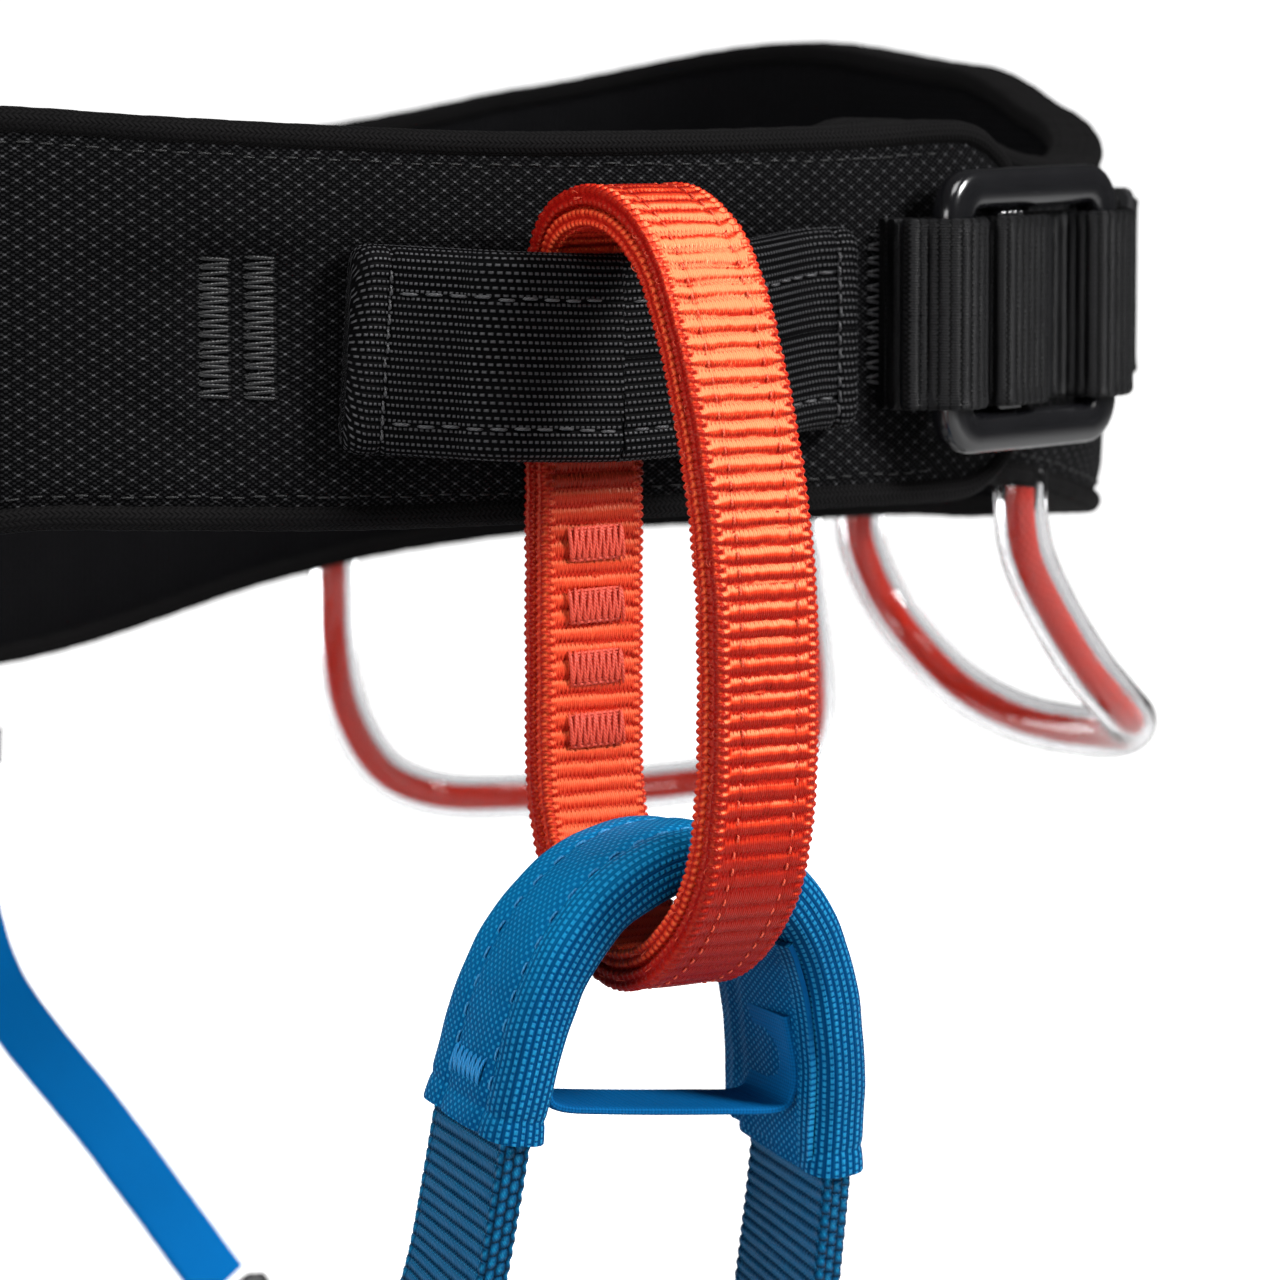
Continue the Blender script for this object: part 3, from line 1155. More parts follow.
def binding(pad, name):
    """Knitted edging folded over the pad's whole outline, as one closed strip."""
    grow, height, step = 0.35, 3.5, 1.3
    run = pad.stations(1.5, 0.5)
    up = np.stack([run, pad.top(run)], 1)
    down = np.stack([run, pad.low(run)], 1)[::-1]

    def end(at, start, stop):
        return np.stack([np.full(8, at), np.linspace(start, stop, 10)[1:-1]], 1)

    loop = np.concatenate([up, end(run[-1], up[-1, 1], down[0, 1]),
                           down, end(0.0, down[-1, 1], up[0, 1])])
    loop = loop[np.concatenate([[True], np.linalg.norm(np.diff(loop, axis=0), axis=1) > 1e-6])]
    along = np.roll(loop, -1, 0) - np.roll(loop, 1, 0)
    along = along / np.maximum(np.linalg.norm(along, axis=1, keepdims=True), 1e-9)
    loop = loop + np.stack([along[:, 1], -along[:, 0]], 1) * (height / 2 - 0.1)
    flat = np.concatenate([loop, np.zeros((len(loop), 1))], 1)
    flat = np.vstack([flat, flat[:1]])
    count = int(length_of(flat)[-1] / step)
    flat = smooth_line(resample(flat, count, True), 3, True)
    path = pad.at(flat[:, 0], flat[:, 1], -PAD_THICK / 2)
    out = unit(pad.at(flat[:, 0], flat[:, 1], 0.0) - path)
    wide, normal = frames(path, out, True)
    shape = section(PAD_THICK + 2 * grow, height, 1.5, 0.9)
    swell = (0.07 * ripple(np.arange(count) * step * 0.9, 2.0)[:, None]
             + 0.05 * np.sin(shape[2][:-1] * 2.6))
    return make_grid(name, loft(path, wide, normal, shape, swell), np.arange(count + 1) * step,
                     shape[2], MATERIAL["binding"], closed=True)


def pad_layers(pad, name, node, body, shell_puff, lining_puff, shell, lining):
    """Shell, lining and binding; shell and lining hold their own measures."""
    obj = layer(pad, name.format("shell"), 0.0, 1.4, MATERIAL["belt"], outer_puff=shell_puff,
                **shell)
    attach(obj, "belt_fabric", body, node.format("shell"))
    obj = layer(pad, name.format("lining"), inner=PAD_THICK, material=MATERIAL["lining"],
                inner_puff=lining_puff, **lining)
    attach(obj, "belt_lining", body, node.format("lining"))
    obj = binding(pad, name.format("binding"))
    attach(obj, "edge_binding", body, node.format("binding_top"), node.format("binding_bottom"))


def hem_stitches(pad, name, body, puff, margin):
    """A row of stitches following the top and the low edge."""
    inset = 4.6
    run = np.arange(margin, pad.total - margin, 1.0)
    for tag, z in (("stitch_top", pad.top(run) - inset), ("stitch_low", pad.low(run) + inset)):
        off = puff(run, z, *pad.hems(run))
        line = pad.at(run, z, off)
        row = stitch_row(line, pad.at(run, z, off + 1.0) - line, UP, length=2.1, gap=1.1, lift=0.16)
        obj = tubes(name.format(tag), row, 0.17, MATERIAL["t_black"])
        attach(obj, "belt_fabric", body)


def belt_bartack(name, columns, half, z_top, z_low, pitch, radius, material, height, tilt):
    """Columns of tight zigzag threads lying on the belt."""
    lines = []
    for middle in columns:
        z = z_top
        k = 0
        while z > z_low:
            x = THREAD * (half + 0.25 * rng.random())
            thread_z = z + tilt * x / half * alternate(k) + 0.06 * rng.standard_normal()
            run = middle + x
            off = height(run, thread_z, *belt.hems(run)) + radius * 0.6
            lines.append(belt.at(run, thread_z, off + arched(0.18, 0.25, x / half)))
            z -= pitch * (1 + 0.08 * rng.standard_normal())
            k += 1
    attach(tubes(name, lines, radius, material), "black_webbing", "waist")


def waist_belt():
    pad_layers(belt, "v_belt_{}", "waist_{}", "waist", belt_puff, belt_lining_puff,
               shell=dict(step=1.9, rows=34), lining=dict(outer=6.7, step=1.9, rows=26))
    belt_bartack("v_belt_bartack_right", [TACK_MIDDLE - 3.3, TACK_MIDDLE + 3.3], half=2.3,
                 z_top=10.0, z_low=-9.3, pitch=0.69, radius=0.31, material=MATERIAL["t_dark"],
                 height=belt_puff, tilt=0.16)
    hem_stitches(belt, "v_belt_{}", "waist", belt_puff, margin=24)


# ================================================================ buckles

def buckle_axes(origin, along, out):
    """Origin and the directions along, across and out."""
    along = unit(np.asarray(along, float))
    out = np.asarray(out, float)
    out = unit(out - np.dot(out, along) * along)
    return np.asarray(origin, float), along, np.cross(out, along), out


def in_buckle(axes, *distances):
    """Points at distances along, across and out."""
    origin, *directions = axes
    distances = np.broadcast_arrays(*(np.asarray(x, float) for x in distances))
    return origin + sum(x[..., None] * way for x, way in zip(distances, directions))


def through_buckle(axes, pairs):
    return [in_buckle(axes, along, 0, out) for along, out in pairs]


def buckle_frame(name, axes, web, body, node):
    """Forged ring: rounded bars that swell at the corners, crowned on the outside."""
    half_w, corner, inner_corner = web / 2 + 2.3 + SIDE_BAR, 7.0, 1.8
    side = SIDE_BAR + 1.3

    def edges(at, degrees):
        """The ring's outer and inner outline at a corner."""
        turn = np.array([cos(radians(degrees)), sin(radians(degrees))])
        at = np.array(at)
        return np.array([
            at * (FRAME_L - corner, half_w - corner) + corner * turn,
            at * (FRAME_L - FRAME_BAR - inner_corner, half_w - side - inner_corner)
            + inner_corner * turn])

    corners = [(1, 1), (-1, 1), (-1, -1), (1, -1)]
    stations = []
    for q in range(4):
        stations += [edges(corners[q], 90 * q + a) for a in np.linspace(0, 90, 9)]
        start, end = (edges(corners[k % 4], 90 * q + 90) for k in (q, q + 1))
        stations += [start + (end - start) * f for f in np.linspace(0, 1, 7)[1:-1]]
    around = 24
    angles = 2 * pi * np.arange(around) / around
    bulge = signed_power(np.cos(angles), 0.62)[:, None]
    out = ((FRAME_LOW + FRAME_HIGH) / 2
           + (FRAME_HIGH - FRAME_LOW) / 2 * signed_power(np.sin(angles), 0.62))
    rings = []
    for outer, inner in stations:
        ring = (outer + inner) / 2 + (outer - inner) / 2 * bulge
        rings.append(in_buckle(axes, ring[:, 0], ring[:, 1], out))
    rings = np.array(rings)
    centres = rings.mean(axis=1)
    obj = make_grid(name, rings, length_of(np.vstack([centres, centres[:1]])),
                    np.arange(around + 1) * 0.8, MATERIAL["metal"], closed=True, angle=70)
    attach(obj, "buckle_metal", body, node)


def buckle_slider(name, axes, web, body, node):
    """Ribbed bar with a hooked lug at each end, edges rounded."""
    neck, lug, slot = web / 2 + 0.75, web / 2 + 5.6, web / 2 + 0.4
    round_off = 0.45
    outline = np.array([     # across, out
        (-lug, 1.0), (-slot, 1.0), (-slot, 4.0), (slot, 4.0), (slot, 1.0), (lug, 1.0),
        (lug, 3.4), (neck, 3.4), (neck, 8.0), (-neck, 8.0), (-neck, 3.4), (-lug, 3.4)])
    dense = []
    for i, here in enumerate(outline):
        before, after = outline[i - 1], outline[(i + 1) % len(outline)]
        back, ahead = unit(before - here) * round_off, unit(after - here) * round_off
        for f in (0, 0.25, 0.5, 0.75, 1.0):
            dense.append((1 - f) ** 2 * (here + back) + 2 * f * (1 - f) * here
                         + f * f * (here + ahead))
        count = max(2, int(np.linalg.norm(after - here) / 1.2)) + 1
        for f in np.linspace(0, 1, count)[1:-1]:
            dense.append(here + ahead + (after - here - 2 * ahead) * f)
    dense = np.array(dense)
    centre = np.array([0.0, 4.6])
    stations = np.concatenate([[0.0, 0.15, 0.5], np.linspace(0.9, 5.1, 22), [5.5, 5.85, 6.0]])
    rings = []
    for x in stations:
        shrink = 0.5 * ease(1 - min(x, SLIDER_LONG - x) / 0.6)
        grip = np.where(dense[:, 1] > 7.0, 0.22 * (np.cos(x * 2 * pi / 1.4) - 1) / 2, 0.0)
        ring = dense - centre
        ring = centre + ring - np.sign(ring) * np.minimum(np.abs(ring), shrink)
        rings.append(in_buckle(axes, SLIDER_L - SLIDER_LONG / 2 + x, ring[:, 0],
                               ring[:, 1] + grip))
    obj = make_grid(name, np.array(rings), stations, length_of(np.vstack([dense, dense[:1]])),
                    MATERIAL["metal"], angle=40)
    attach(obj, "buckle_metal", body, node)


def hollow(name, path, wide, outer_size, inner_size, corner, body, node, lip):
    """A short plastic sleeve open at both ends, with rolled ends."""
    path = np.asarray(path, float)
    wide, normal = frames(path, wide)
    shape = section(*outer_size, corner)
    f = np.linspace(0, 1, len(path))
    roll = lip * (gauss(f, 0.1) + gauss(1 - f, 0.1)) - 0.5 * lip
    outer = loft(path, wide, normal, shape, roll[:, None])
    inner = loft(path, wide, normal, shape,
                 scale=(inner_size[0] / outer_size[0], inner_size[1] / outer_size[1]))
    run = length_of(path)
    obj = make_grid(name, np.concatenate([outer, inner[::-1]]),
                    np.concatenate([run, run[::-1], run[:1]]), shape[2], MATERIAL["plastic"],
                    closed=True, angle=40)
    attach(obj, "black_plastic", body, node)


def waist_buckle():
    axes = buckle_axes(on_waist([(WAIST_BUCKLE_AT, 0.0)])[0], *waist_directions(WAIST_BUCKLE_AT))
    buckle_frame("v_waist_buckle_frame", axes, WAIST_WEB, "waist", "waist_buckle_frame")
    buckle_slider("v_waist_buckle_slider", axes, WAIST_WEB, "waist_slider",
                  "waist_buckle_slider")
    anchor = (on_waist([(17.2, 1.2), (18.6, 1.25)]) + through_buckle(axes, WAIST_ANCHOR)
              + on_waist([(18.6, 3.3), (17.2, 3.1)]))
    strap = (on_waist(STRAP_BEFORE)
             + through_buckle(axes, STRAP_IN + [(24.2, 8.3), (27.8, 5.6)])
             + on_waist(STRAP_AFTER))
    for part, line, seed in (("anchor_webbing", anchor, 4), ("strap", strap, 5)):
        obj = webbing(f"v_waist_{part}", line, UP, WAIST_WEB, WEB_THICK, BLACK_PITCH, depth=0.28,
                      material=MATERIAL["black"], seed=seed, step=1.0, relax=1)
        attach(obj, "black_webbing", "waist", f"waist_{part}")

    along, _ = waist_directions(KEEPER_AT)
    keeper = np.array(on_waist([(KEEPER_AT, KEEPER_OUT)])[0])
    hollow("v_waist_strap_keeper", [keeper + along * x for x in np.linspace(-4, 4, 15)], UP,
           outer_size=(31.6, 7.2), inner_size=(28.9, 5.25), corner=1.5, body="strap_keeper",
           node="waist_strap_keeper", lip=0.25)
    # bar tack over the panel just before the buckle
    belt_bartack("v_belt_bartack_anchor", [belt.run_at(377.1)], half=1.6, z_top=12.5,
                 z_low=-11.5, pitch=0.95, radius=0.25, material=MATERIAL["t_grey"],
                 height=lambda run, z, low, high: 0.15, tilt=0.25)


# ================================================================ tie-in band

def tie_half(name, start_x, seam_at, seed):
    """Half of the band, from its sewn end to the middle, with a seam across it."""
    dense = catmull([(x, y, TIE_Z) for x, y in TIE_LINE], 24)
    dense[:, 2] += 0.4 + 2.0 * (np.minimum(np.abs(dense[:, 0]), 40) / 37) ** 1.3
    first, last = ([x, *(np.interp(x, dense[:, 0], dense[:, k]) for k in (1, 2))]
                   for x in (start_x, 0.0))
    between = dense[(dense[:, 0] > min(start_x, 0)) & (dense[:, 0] < max(start_x, 0))]
    if start_x > 0:
        between = between[::-1]
    path, run = spaced(np.vstack([first, between, last]), step=0.41, passes=6)
    wide, normal = frames(path, UP)
    shape = section(TIE_TALL, TIE_THICK, 2.7, 0.27, 12)
    points, normals, around = shape
    row = np.floor(around[:-1] / TIE_ROW_PITCH + 0.5)
    dash = 0.6 + 0.4 * np.abs(np.sin(pi * run[:, None] / TIE_DASH_PITCH + 0.9 * row))
    swell = 0.13 * np.cos(2 * pi * around[:-1] / TIE_ROW_PITCH) * dash
    stitched = sum(-0.22 * gauss(points[:, 0] - z, 0.7) for z in TIE_ROWS)
    faces = np.abs(normals[:, 1]) > 0.3
    swell = swell + faces * (-0.45 * gauss(run - seam_at, 0.5)[:, None]
                             + stitched * (run > seam_at)[:, None])
    swell = swell + 0.12 * ripple2(run[:, None] * 0.16, points[None, :, 0] * 0.2, seed) * faces

    def rounding(length):
        """Squared height of a rounded end."""
        return 1 - (1 - np.clip(run / length, 0, 1)) ** 2

    thick = (np.sqrt(np.maximum(rounding(2.2), 0.12))
             * (0.86 + 0.14 * ease((run - seam_at) / 2.5)))
    tall = 1 - 0.16 * (1 - np.sqrt(rounding(3.0)))
    grid = loft(path, wide, normal, shape, swell, (tall, thick))
    obj = make_grid(name, grid, run, around, MATERIAL["tie"], angle=70)
    return obj, path, wide, normal, run


def tie_stitches(name, path, wide, normal, run, seam_at):
    """Two lengthwise rows and the row down the seam, on the front face."""
    out = normal * -np.sign(np.mean(normal[:, 1]))
    lines = []
    past = run > seam_at + 1.0
    for z in TIE_ROWS:
        line = path[past] + wide[past] * z + out[past] * (TIE_THICK / 2 - 0.2)
        lines.append(stitch_row(line, out[past], wide[past], length=2.5, gap=0.9, lift=0.30,
                                start=0.4))
    k = int(np.argmin(np.abs(run - seam_at)))
    heights = np.arange(-TIE_TALL / 2 + 1.5, TIE_TALL / 2 - 1.5, 0.3)
    line = path[k] + np.outer(heights, wide[k]) + out[k] * (TIE_THICK / 2 * 0.93 - 0.35)
    lines.append(stitch_row(line, out[k], path[k + 1] - path[k], length=1.5, gap=0.5, lift=0.2))
    return tubes(name, np.concatenate(lines), 0.24, MATERIAL["t_grey"])


def tie_band():
    for where, start_x, nodes, seam_at, seed in (
            ("right", -37.0, ("tie_in_end_right", "tie_in_sleeve"), 5.6, 1.0),
            ("left", 49.0, ("tie_in_end_left", "tie_in_webbing"), 5.0, 2.0)):
        side = np.sign(start_x)
        band, *strip = tie_half(f"v_tie_band_{where}", start_x, seam_at, seed)
        attach(band, "black_webbing", None, *nodes)
        stitches = tie_stitches(f"v_tie_stitches_{where}", *strip, seam_at)
        attach(stitches, "black_webbing")
        for obj in (band, stitches):
            blend(obj, (start_x - side * 1.0, TIE_BLEND_Y, TIE_BLEND_Z),
                  (side * 9.0, TIE_BLEND_Y, TIE_BLEND_Z))


# ================================================================ belay loop

PLY_OFF = 1.5           # the two plies lie this far either side of the line


def loop_plies(path, wide, out, run):
    """Two plies of ribbed webbing; the ribs are pulled flat at the loop's foot and top."""
    shape = section(LOOP_WIDE, 2.95, 0.75, 0.34, 4)
    points, normals, around = shape
    run, closed_run = run[:-1], run
    z = path[:, 2]
    soft = 1.0 - 0.60 * np.exp(-((z + 82) / 16) ** 2) - 0.30 * np.exp(-((z - 16) / 4) ** 2)
    face = np.abs(normals[:, 1]) ** 2
    for ply, off, material, seed in (("outer", PLY_OFF, "orange", 1.0),
                                     ("inner", -PLY_OFF, "orange_in", 5.0)):
        swell = ribs(run, shape, LOOP_PITCH, depth=0.60, bead=0.55, columns=2, seed=seed,
                     zigzag=0.10, soft=soft[:, None], bead_pitch=LOOP_PITCH / 2)
        if ply == "outer":      # faint valleys where the plies are stitched together
            for line in LOOP_ROWS:
                drift = 0.25 * ripple(run * 0.12, seed)[:, None]
                swell = swell - 0.20 * gauss(points[:, 0] - line - drift, 0.45) * face
        swell = swell + 0.12 * ripple2(run[:, None] * 0.2, points[None, :, 0] * 0.25, seed) * face
        spread = (1 + 0.012 * ripple(run * 0.55, seed)
                  + 0.01 * np.sin(pi * run / LOOP_PITCH) ** 2)
        grid = loft(path + off * out, wide, out, shape, swell, (spread, 1.0))
        obj = make_grid(f"v_loop_{ply}", grid, closed_run, around, MATERIAL[material],
                        closed=True, angle=85)
        attach(obj, "orange_webbing", "belay", f"belay_loop_{ply}")


LOOP_ROWS = (4.6, -4.4)     # stitch rows across the loop


def loop_stitches(path, wide, out):
    lines = []
    for off, start in zip(LOOP_ROWS, (1.8, 1.9)):
        line = path + out * 2.85 + wide * off
        line, row_out, row_wide = (np.vstack([a, a[:1]]) for a in (line, out, wide))
        lines.append(stitch_row(line, row_out, row_wide, length=1.15, gap=LOOP_PITCH - 1.15,
                                lift=0.06, start=start, sag=0.3))
    obj = tubes("v_loop_stitches", np.concatenate(lines), 0.15, MATERIAL["t_orange"])
    attach(obj, "orange_thread", "belay")


def loop_bartacks():
    """Four bar tacks on the rear strand: dense upright threads over a few level ones."""
    face_y = LOOP_REAR_Y - 3.05
    lines = []
    for z in (-57.2, -48.4, -39.6, -30.8):
        for k in range(17):
            x = -4.3 + 8.6 * k / 16 + 0.08 * rng.standard_normal()
            half = 2.45 + 0.2 * rng.random()
            arch = np.cos(THREAD * pi / 2) ** 0.6
            lines.append(np.stack([x + 0.28 * alternate(k) * THREAD, face_y - 0.12 - 0.33 * arch,
                                   z + half * THREAD], 1))
        for k in range(11):
            level = z - 2.2 + 4.4 * k / 10
            lines.append(np.stack([4.35 * THREAD, face_y + 0.05 - arched(0.1, 0),
                                   level + 0.15 * THREAD], 1))
    obj = tubes("v_loop_bartacks", lines, 0.29, MATERIAL["t_orange_deep"])
    attach(obj, "orange_thread", "belay", "belay_loop_bartacks")


def loop_fuzz(path, wide, out):
    """Small filament loops standing out of the front strand's edges."""
    lines = []
    front = np.where(path[:, 1] < -124)[0]
    angles = np.linspace(-0.25, pi + 0.25, 9)
    for k in range(64):
        i = int(rng.choice(front))
        side = -1 if k % 4 else 1
        ply = rng.choice([-PLY_OFF, PLY_OFF]) + 0.36 * rng.standard_normal()
        base = path[i] + wide[i] * side * (LOOP_WIDE / 2 - 0.15) + out[i] * ply
        along = unit(path[(i + 1) % len(path)] - path[i])
        radius = 0.35 + 0.45 * rng.random()
        lean = 0.3 * rng.standard_normal()
        reach = 0.7 + 0.5 * rng.random()
        lines.append(base + np.outer(np.sin(angles) * radius * reach, wide[i] * side)
                     + np.outer(np.cos(angles) * radius, along)
                     + np.outer(np.sin(angles) * radius * lean, out[i]))
    obj = tubes("v_loop_fuzz", lines, 0.055, MATERIAL["t_orange"], sides=5, taper=False)
    attach(obj, "orange_thread", "belay")


def belay_loop():
    per = 10        # stations to each rib
    dense = catmull([(0, y, z) for y, z in LOOP_LINE], 24, True)
    count = int(round(length_of(dense)[-1] / LOOP_PITCH)) * per
    path = smooth_line(resample(dense, count, True), 12, True)
    wide, out = frames(path, (1, 0, 0), True)
    out = out * np.sign(np.sum(out * (path - path.mean(0)), axis=1).sum())
    loop_plies(path, wide, out, np.arange(count + 1) * (LOOP_PITCH / per))
    loop_stitches(path, wide, out)
    loop_bartacks()
    loop_fuzz(path, wide, out)


# ================================================================ crosspiece

def sleeve_strip(line):
    """Path, across, outward and distance along of the sleeved part of the crosspiece."""
    path, _ = spaced(catmull(line, 24), step=0.55, passes=8)
    x, z = path[:, 0], path[:, 2]
    right = int(np.argmin(np.where(x < 0, np.abs(z + 108.5), 1e9)))
    left = int(np.argmin(np.where(x > 0, np.abs(z + 118.0), 1e9)))
    part = slice(right, left + 1)
    wide, out = (a[part] for a in frames(path, (0, 1, 0)))
    path = path[part]
    centre = np.array([0, -131, -110.0])
    out = out * np.sign(np.mean(np.sum(out * (path - centre), axis=1)))
    return path, wide, out, length_of(path)


def cross_sleeve(path, wide, out, run):
    """Padded tube round the webbing: grooved at the stitch rows, corded towards its edges."""
    shape = section(SLEEVE_WIDE, SLEEVE_THICK, 3.3, 0.4, 11)
    points, normals, around = shape
    across = points[None, :, 0]
    along = run[:, None]
    outer_face, inner_face = normals[:, 1] > 0.5, normals[:, 1] < -0.5
    cords = np.cos(2 * pi * around[:-1] / SLEEVE_RIB)
    swell = np.zeros((len(run), len(points)))
    for line in SLEEVE_ROWS:
        swell -= 0.5 * gauss(across - line - 0.3 * ripple(along * 0.1, line), 0.75) * outer_face
    between = window(across, SLEEVE_ROWS[1], SLEEVE_ROWS[0], 3.5)
    swell += 0.40 * between * outer_face * (0.8 + 0.35 * ripple(along * 0.33, 2.0))
    swell += 0.05 * cords * ((across < -6.4) & (points[:, 1] > -SLEEVE_THICK / 2 + 0.2))
    swell += 0.12 * cords * (across > 9.3)
    swell += 0.28 * ripple2(along * 0.30, across * 0.35, 4.0) * inner_face
    swell += 0.10 * ripple2(along * 0.55, across * 0.5, 9.0)
    to_end = np.minimum(along, run[-1] - along)
    swell += 0.35 * gauss(to_end, 2.2) - 0.225 * gauss(to_end - 3.4, 0.5)
    outer = loft(path, wide, out, shape, swell)
    inner = loft(path, wide, out, shape, scale=((CROSS_WEB + 1.0) / SLEEVE_WIDE,
                                                (CROSS_THICK + 1.0) / SLEEVE_THICK))
    obj = make_grid("v_cross_sleeve", np.concatenate([outer, inner[::-1]]),
                    np.concatenate([run, run[::-1], run[:1]]), around, MATERIAL["sleeve"],
                    closed=True, angle=70)
    attach(obj, "blue_sleeve", "seat", "crosspiece_sleeve")


def cross_stitches(path, wide, out, run):
    lines = []
    for k, row in enumerate(SLEEVE_ROWS):
        line = (path + wide * (row + 0.3 * ripple(run * 0.1, row)[:, None])
                + out * (SLEEVE_THICK / 2 - 0.42))
        lines.append(stitch_row(line[8:-8], out[8:-8], wide[8:-8], length=2.2, gap=1.9,
                                lift=0.22, start=0.5 + k))
    attach(tubes("v_cross_stitches", np.concatenate(lines), 0.19, MATERIAL["t_blue"]),
           "blue_sleeve", "seat")


def cross_bartack(path, wide, out, run):
    """Zigzag near the wearer's right end of the sleeve, between the stitch rows."""
    i = int(np.argmin(np.abs(run - 8.0)))
    along = unit(path[i + 1] - path[i])
    height = SLEEVE_THICK / 2 + 0.38 + arched(0.25, 0.25)
    lines = []
    for k in range(13):
        x = SLEEVE_ROWS[1] + 1.6 + (SLEEVE_ROWS[0] - SLEEVE_ROWS[1] - 2.8) * k / 12
        lines.append(path[i] + np.outer(x + 0.3 * alternate(k) * THREAD, wide[i])
                     + np.outer(THREAD * (2.0 + 0.3 * rng.random()), along)
                     + np.outer(height, out[i]))
    attach(tubes("v_cross_bartack", lines, 0.26, MATERIAL["t_blue_dark"]), "blue_sleeve", "seat")


def cross_flap(path, wide, out, run):
    """Turned-in panel lying on the inner face of the sleeve's left arm."""
    arm = np.where((path[:, 0] > 0) & (path[:, 2] < -82.0) & (path[:, 2] > -116.5))[0]
    path, wide, out, run = path[arm], wide[arm], out[arm], run[arm] - run[arm][0]
    over = np.linspace(0, 1, 22)[None, :]
    f = (run / run[-1])[:, None]
    front, rear = -9.5 + 0.5 * f, 12.6 - 0.4 * f
    across = front + (rear - front) * over
    # one broad swell, two folds and a little unevenness
    lift = (0.15 + 0.9 * np.sin(pi * over) ** 2 * (0.4 + 0.6 * np.sin(pi * f))
            + 0.5 * gauss(over - 0.86, 0.05) + 0.35 * gauss(over - 0.62 - 0.1 * f, 0.06)
            + 0.12 * ripple2(run[:, None] * 0.5, across * 0.5, 2.0))
    base = -(SLEEVE_THICK / 2 + 0.1) - lift

    def face(off):
        return (path[:, None, :] + across[..., None] * wide[:, None, :]
                + (base + off)[..., None] * out[:, None, :])

    obj = make_grid("v_cross_flap_left", np.concatenate([face(-0.75), face(0.1)[:, ::-1]], axis=1),
                    run, np.concatenate([across, across[:, ::-1], across[:, :1]], axis=1),
                    MATERIAL["sleeve"], angle=60)
    attach(obj, "blue_sleeve", "seat")


def crosspiece():
    line = np.concatenate([mirrored(CROSS_HALF[::-1], -1.0), CROSS_HALF[1:]])
    obj = webbing("v_cross_webbing", line, (0, 1, 0), CROSS_WEB, CROSS_THICK, CROSS_PITCH,
                  depth=0.3, material=MATERIAL["blue"], per=8, bead=0.42, corner=0.8, seed=7,
                  step=0.45, columns=3, zigzag=0.03)
    attach(obj, "blue_webbing", "seat", "crosspiece_webbing")
    strip = sleeve_strip(line)
    cross_sleeve(*strip)
    cross_stitches(*strip)
    cross_bartack(*strip)
    obj = webbing("v_cross_strap", ARCH_STRAP, (0, 1, 0.10), width=11.4, thick=1.1, pitch=1.1,
                  depth=0.10, material=MATERIAL["ribbon"], per=5, bead=0.05, seed=3, step=0.7,
                  relax=3)
    attach(obj, "blue_ribbon", "seat", "crosspiece_strap")
    cross_flap(*strip)


# ================================================================ leg loops and risers

def leg_pad(where, side, body):
    pad = Pad(np.linspace(LEG_PAD_START, LEG_PAD_END, 900),
              lambda degrees, off: leg_xy(side, degrees, off),
              lambda degrees: leg_middle(degrees) + leg_height(degrees) / 2,
              lambda degrees: leg_middle(degrees) - leg_height(degrees) / 2, LEG_CORNER)
    name = f"v_leg_{{}}_{where}"
    pad_layers(pad, name, f"leg_{{}}_{where}", body, leg_puff, leg_lining_puff,
               shell=dict(step=2.2, rows=30), lining=dict(outer=6.6, step=2.4, rows=24))
    hem_stitches(pad, name, body, leg_puff, margin=18)


def leg_buckle(where, side, body):
    """Buckle, the webbing round the leg that anchors it, and the strap through it."""
    at = LEG_BUCKLE_AT
    tangent = leg_point(side, at - 1, 0) - leg_point(side, at + 1, 0)
    out = np.array([side * cos(radians(at)), sin(radians(at)), 0.0])
    axes = buckle_axes(leg_point(side, at, 0.0), tangent, out)
    buckle_frame(f"v_leg_buckle_frame_{where}", axes, LEG_WEB, body, f"leg_buckle_frame_{where}")
    buckle_slider(f"v_leg_buckle_slider_{where}", axes, LEG_WEB, f"leg_slider_{where}",
                  f"leg_buckle_slider_{where}")
    across = axes[2] * np.sign(axes[2][2])

    def on_leg(places):
        return [leg_point(side, degrees, off) for degrees, off in places]

    round_leg = [(degrees, 1.3) for degrees in np.arange(244.0, -30.0, -9.0)] + [(-33.0, 1.35)]
    loose_end = [(274.0, 4.6), (268.0, 3.9), (262.0, 4.4), (257.0, 6.0)]
    strap_in = [(30.0, 0.2)] + STRAP_IN[2:] + [(24.5, 8.9), (29.0, 6.2)]
    for part, before, through, after, seed in (
            ("webbing", round_leg, LEG_ANCHOR, [(-34.0, 3.55), (-28.0, 3.55), (-22.0, 3.55)], 6),
            ("strap", [(degrees, 1.3) for degrees in (247.0, 256.0, 265.0, 273.0)], strap_in,
             loose_end, 9)):
        line = on_leg(before) + through_buckle(axes, through) + on_leg(after)
        wide = [UP] * len(before) + [across] * len(through) + [UP] * len(after)
        obj = webbing(f"v_leg_{part}_{where}", line, wide, LEG_WEB, WEB_THICK, LEG_PITCH,
                      depth=0.26, material=MATERIAL["blue_thin"], per=5, bead=0.12, seed=seed,
                      step=0.9, relax=1)
        attach(obj, "blue_webbing", body, f"leg_{part}_{where}")


def leg_bartacks(where, side, body):
    """Bar tacks that join the webbing to the pad."""
    lines = []
    for middle in (30.0, 100.0, 170.0, 232.0, -14.0):
        for k in range(9):
            lines.append(leg_point(side, middle + (k - 4) * 0.52, 2.25 + arched(0.22, 0.3),
                                   THREAD * 6.2 + 0.2 * alternate(k)))
    attach(tubes(f"v_leg_bartacks_{where}", lines, 0.26, MATERIAL["t_blue_dark"]),
           "blue_webbing", body)


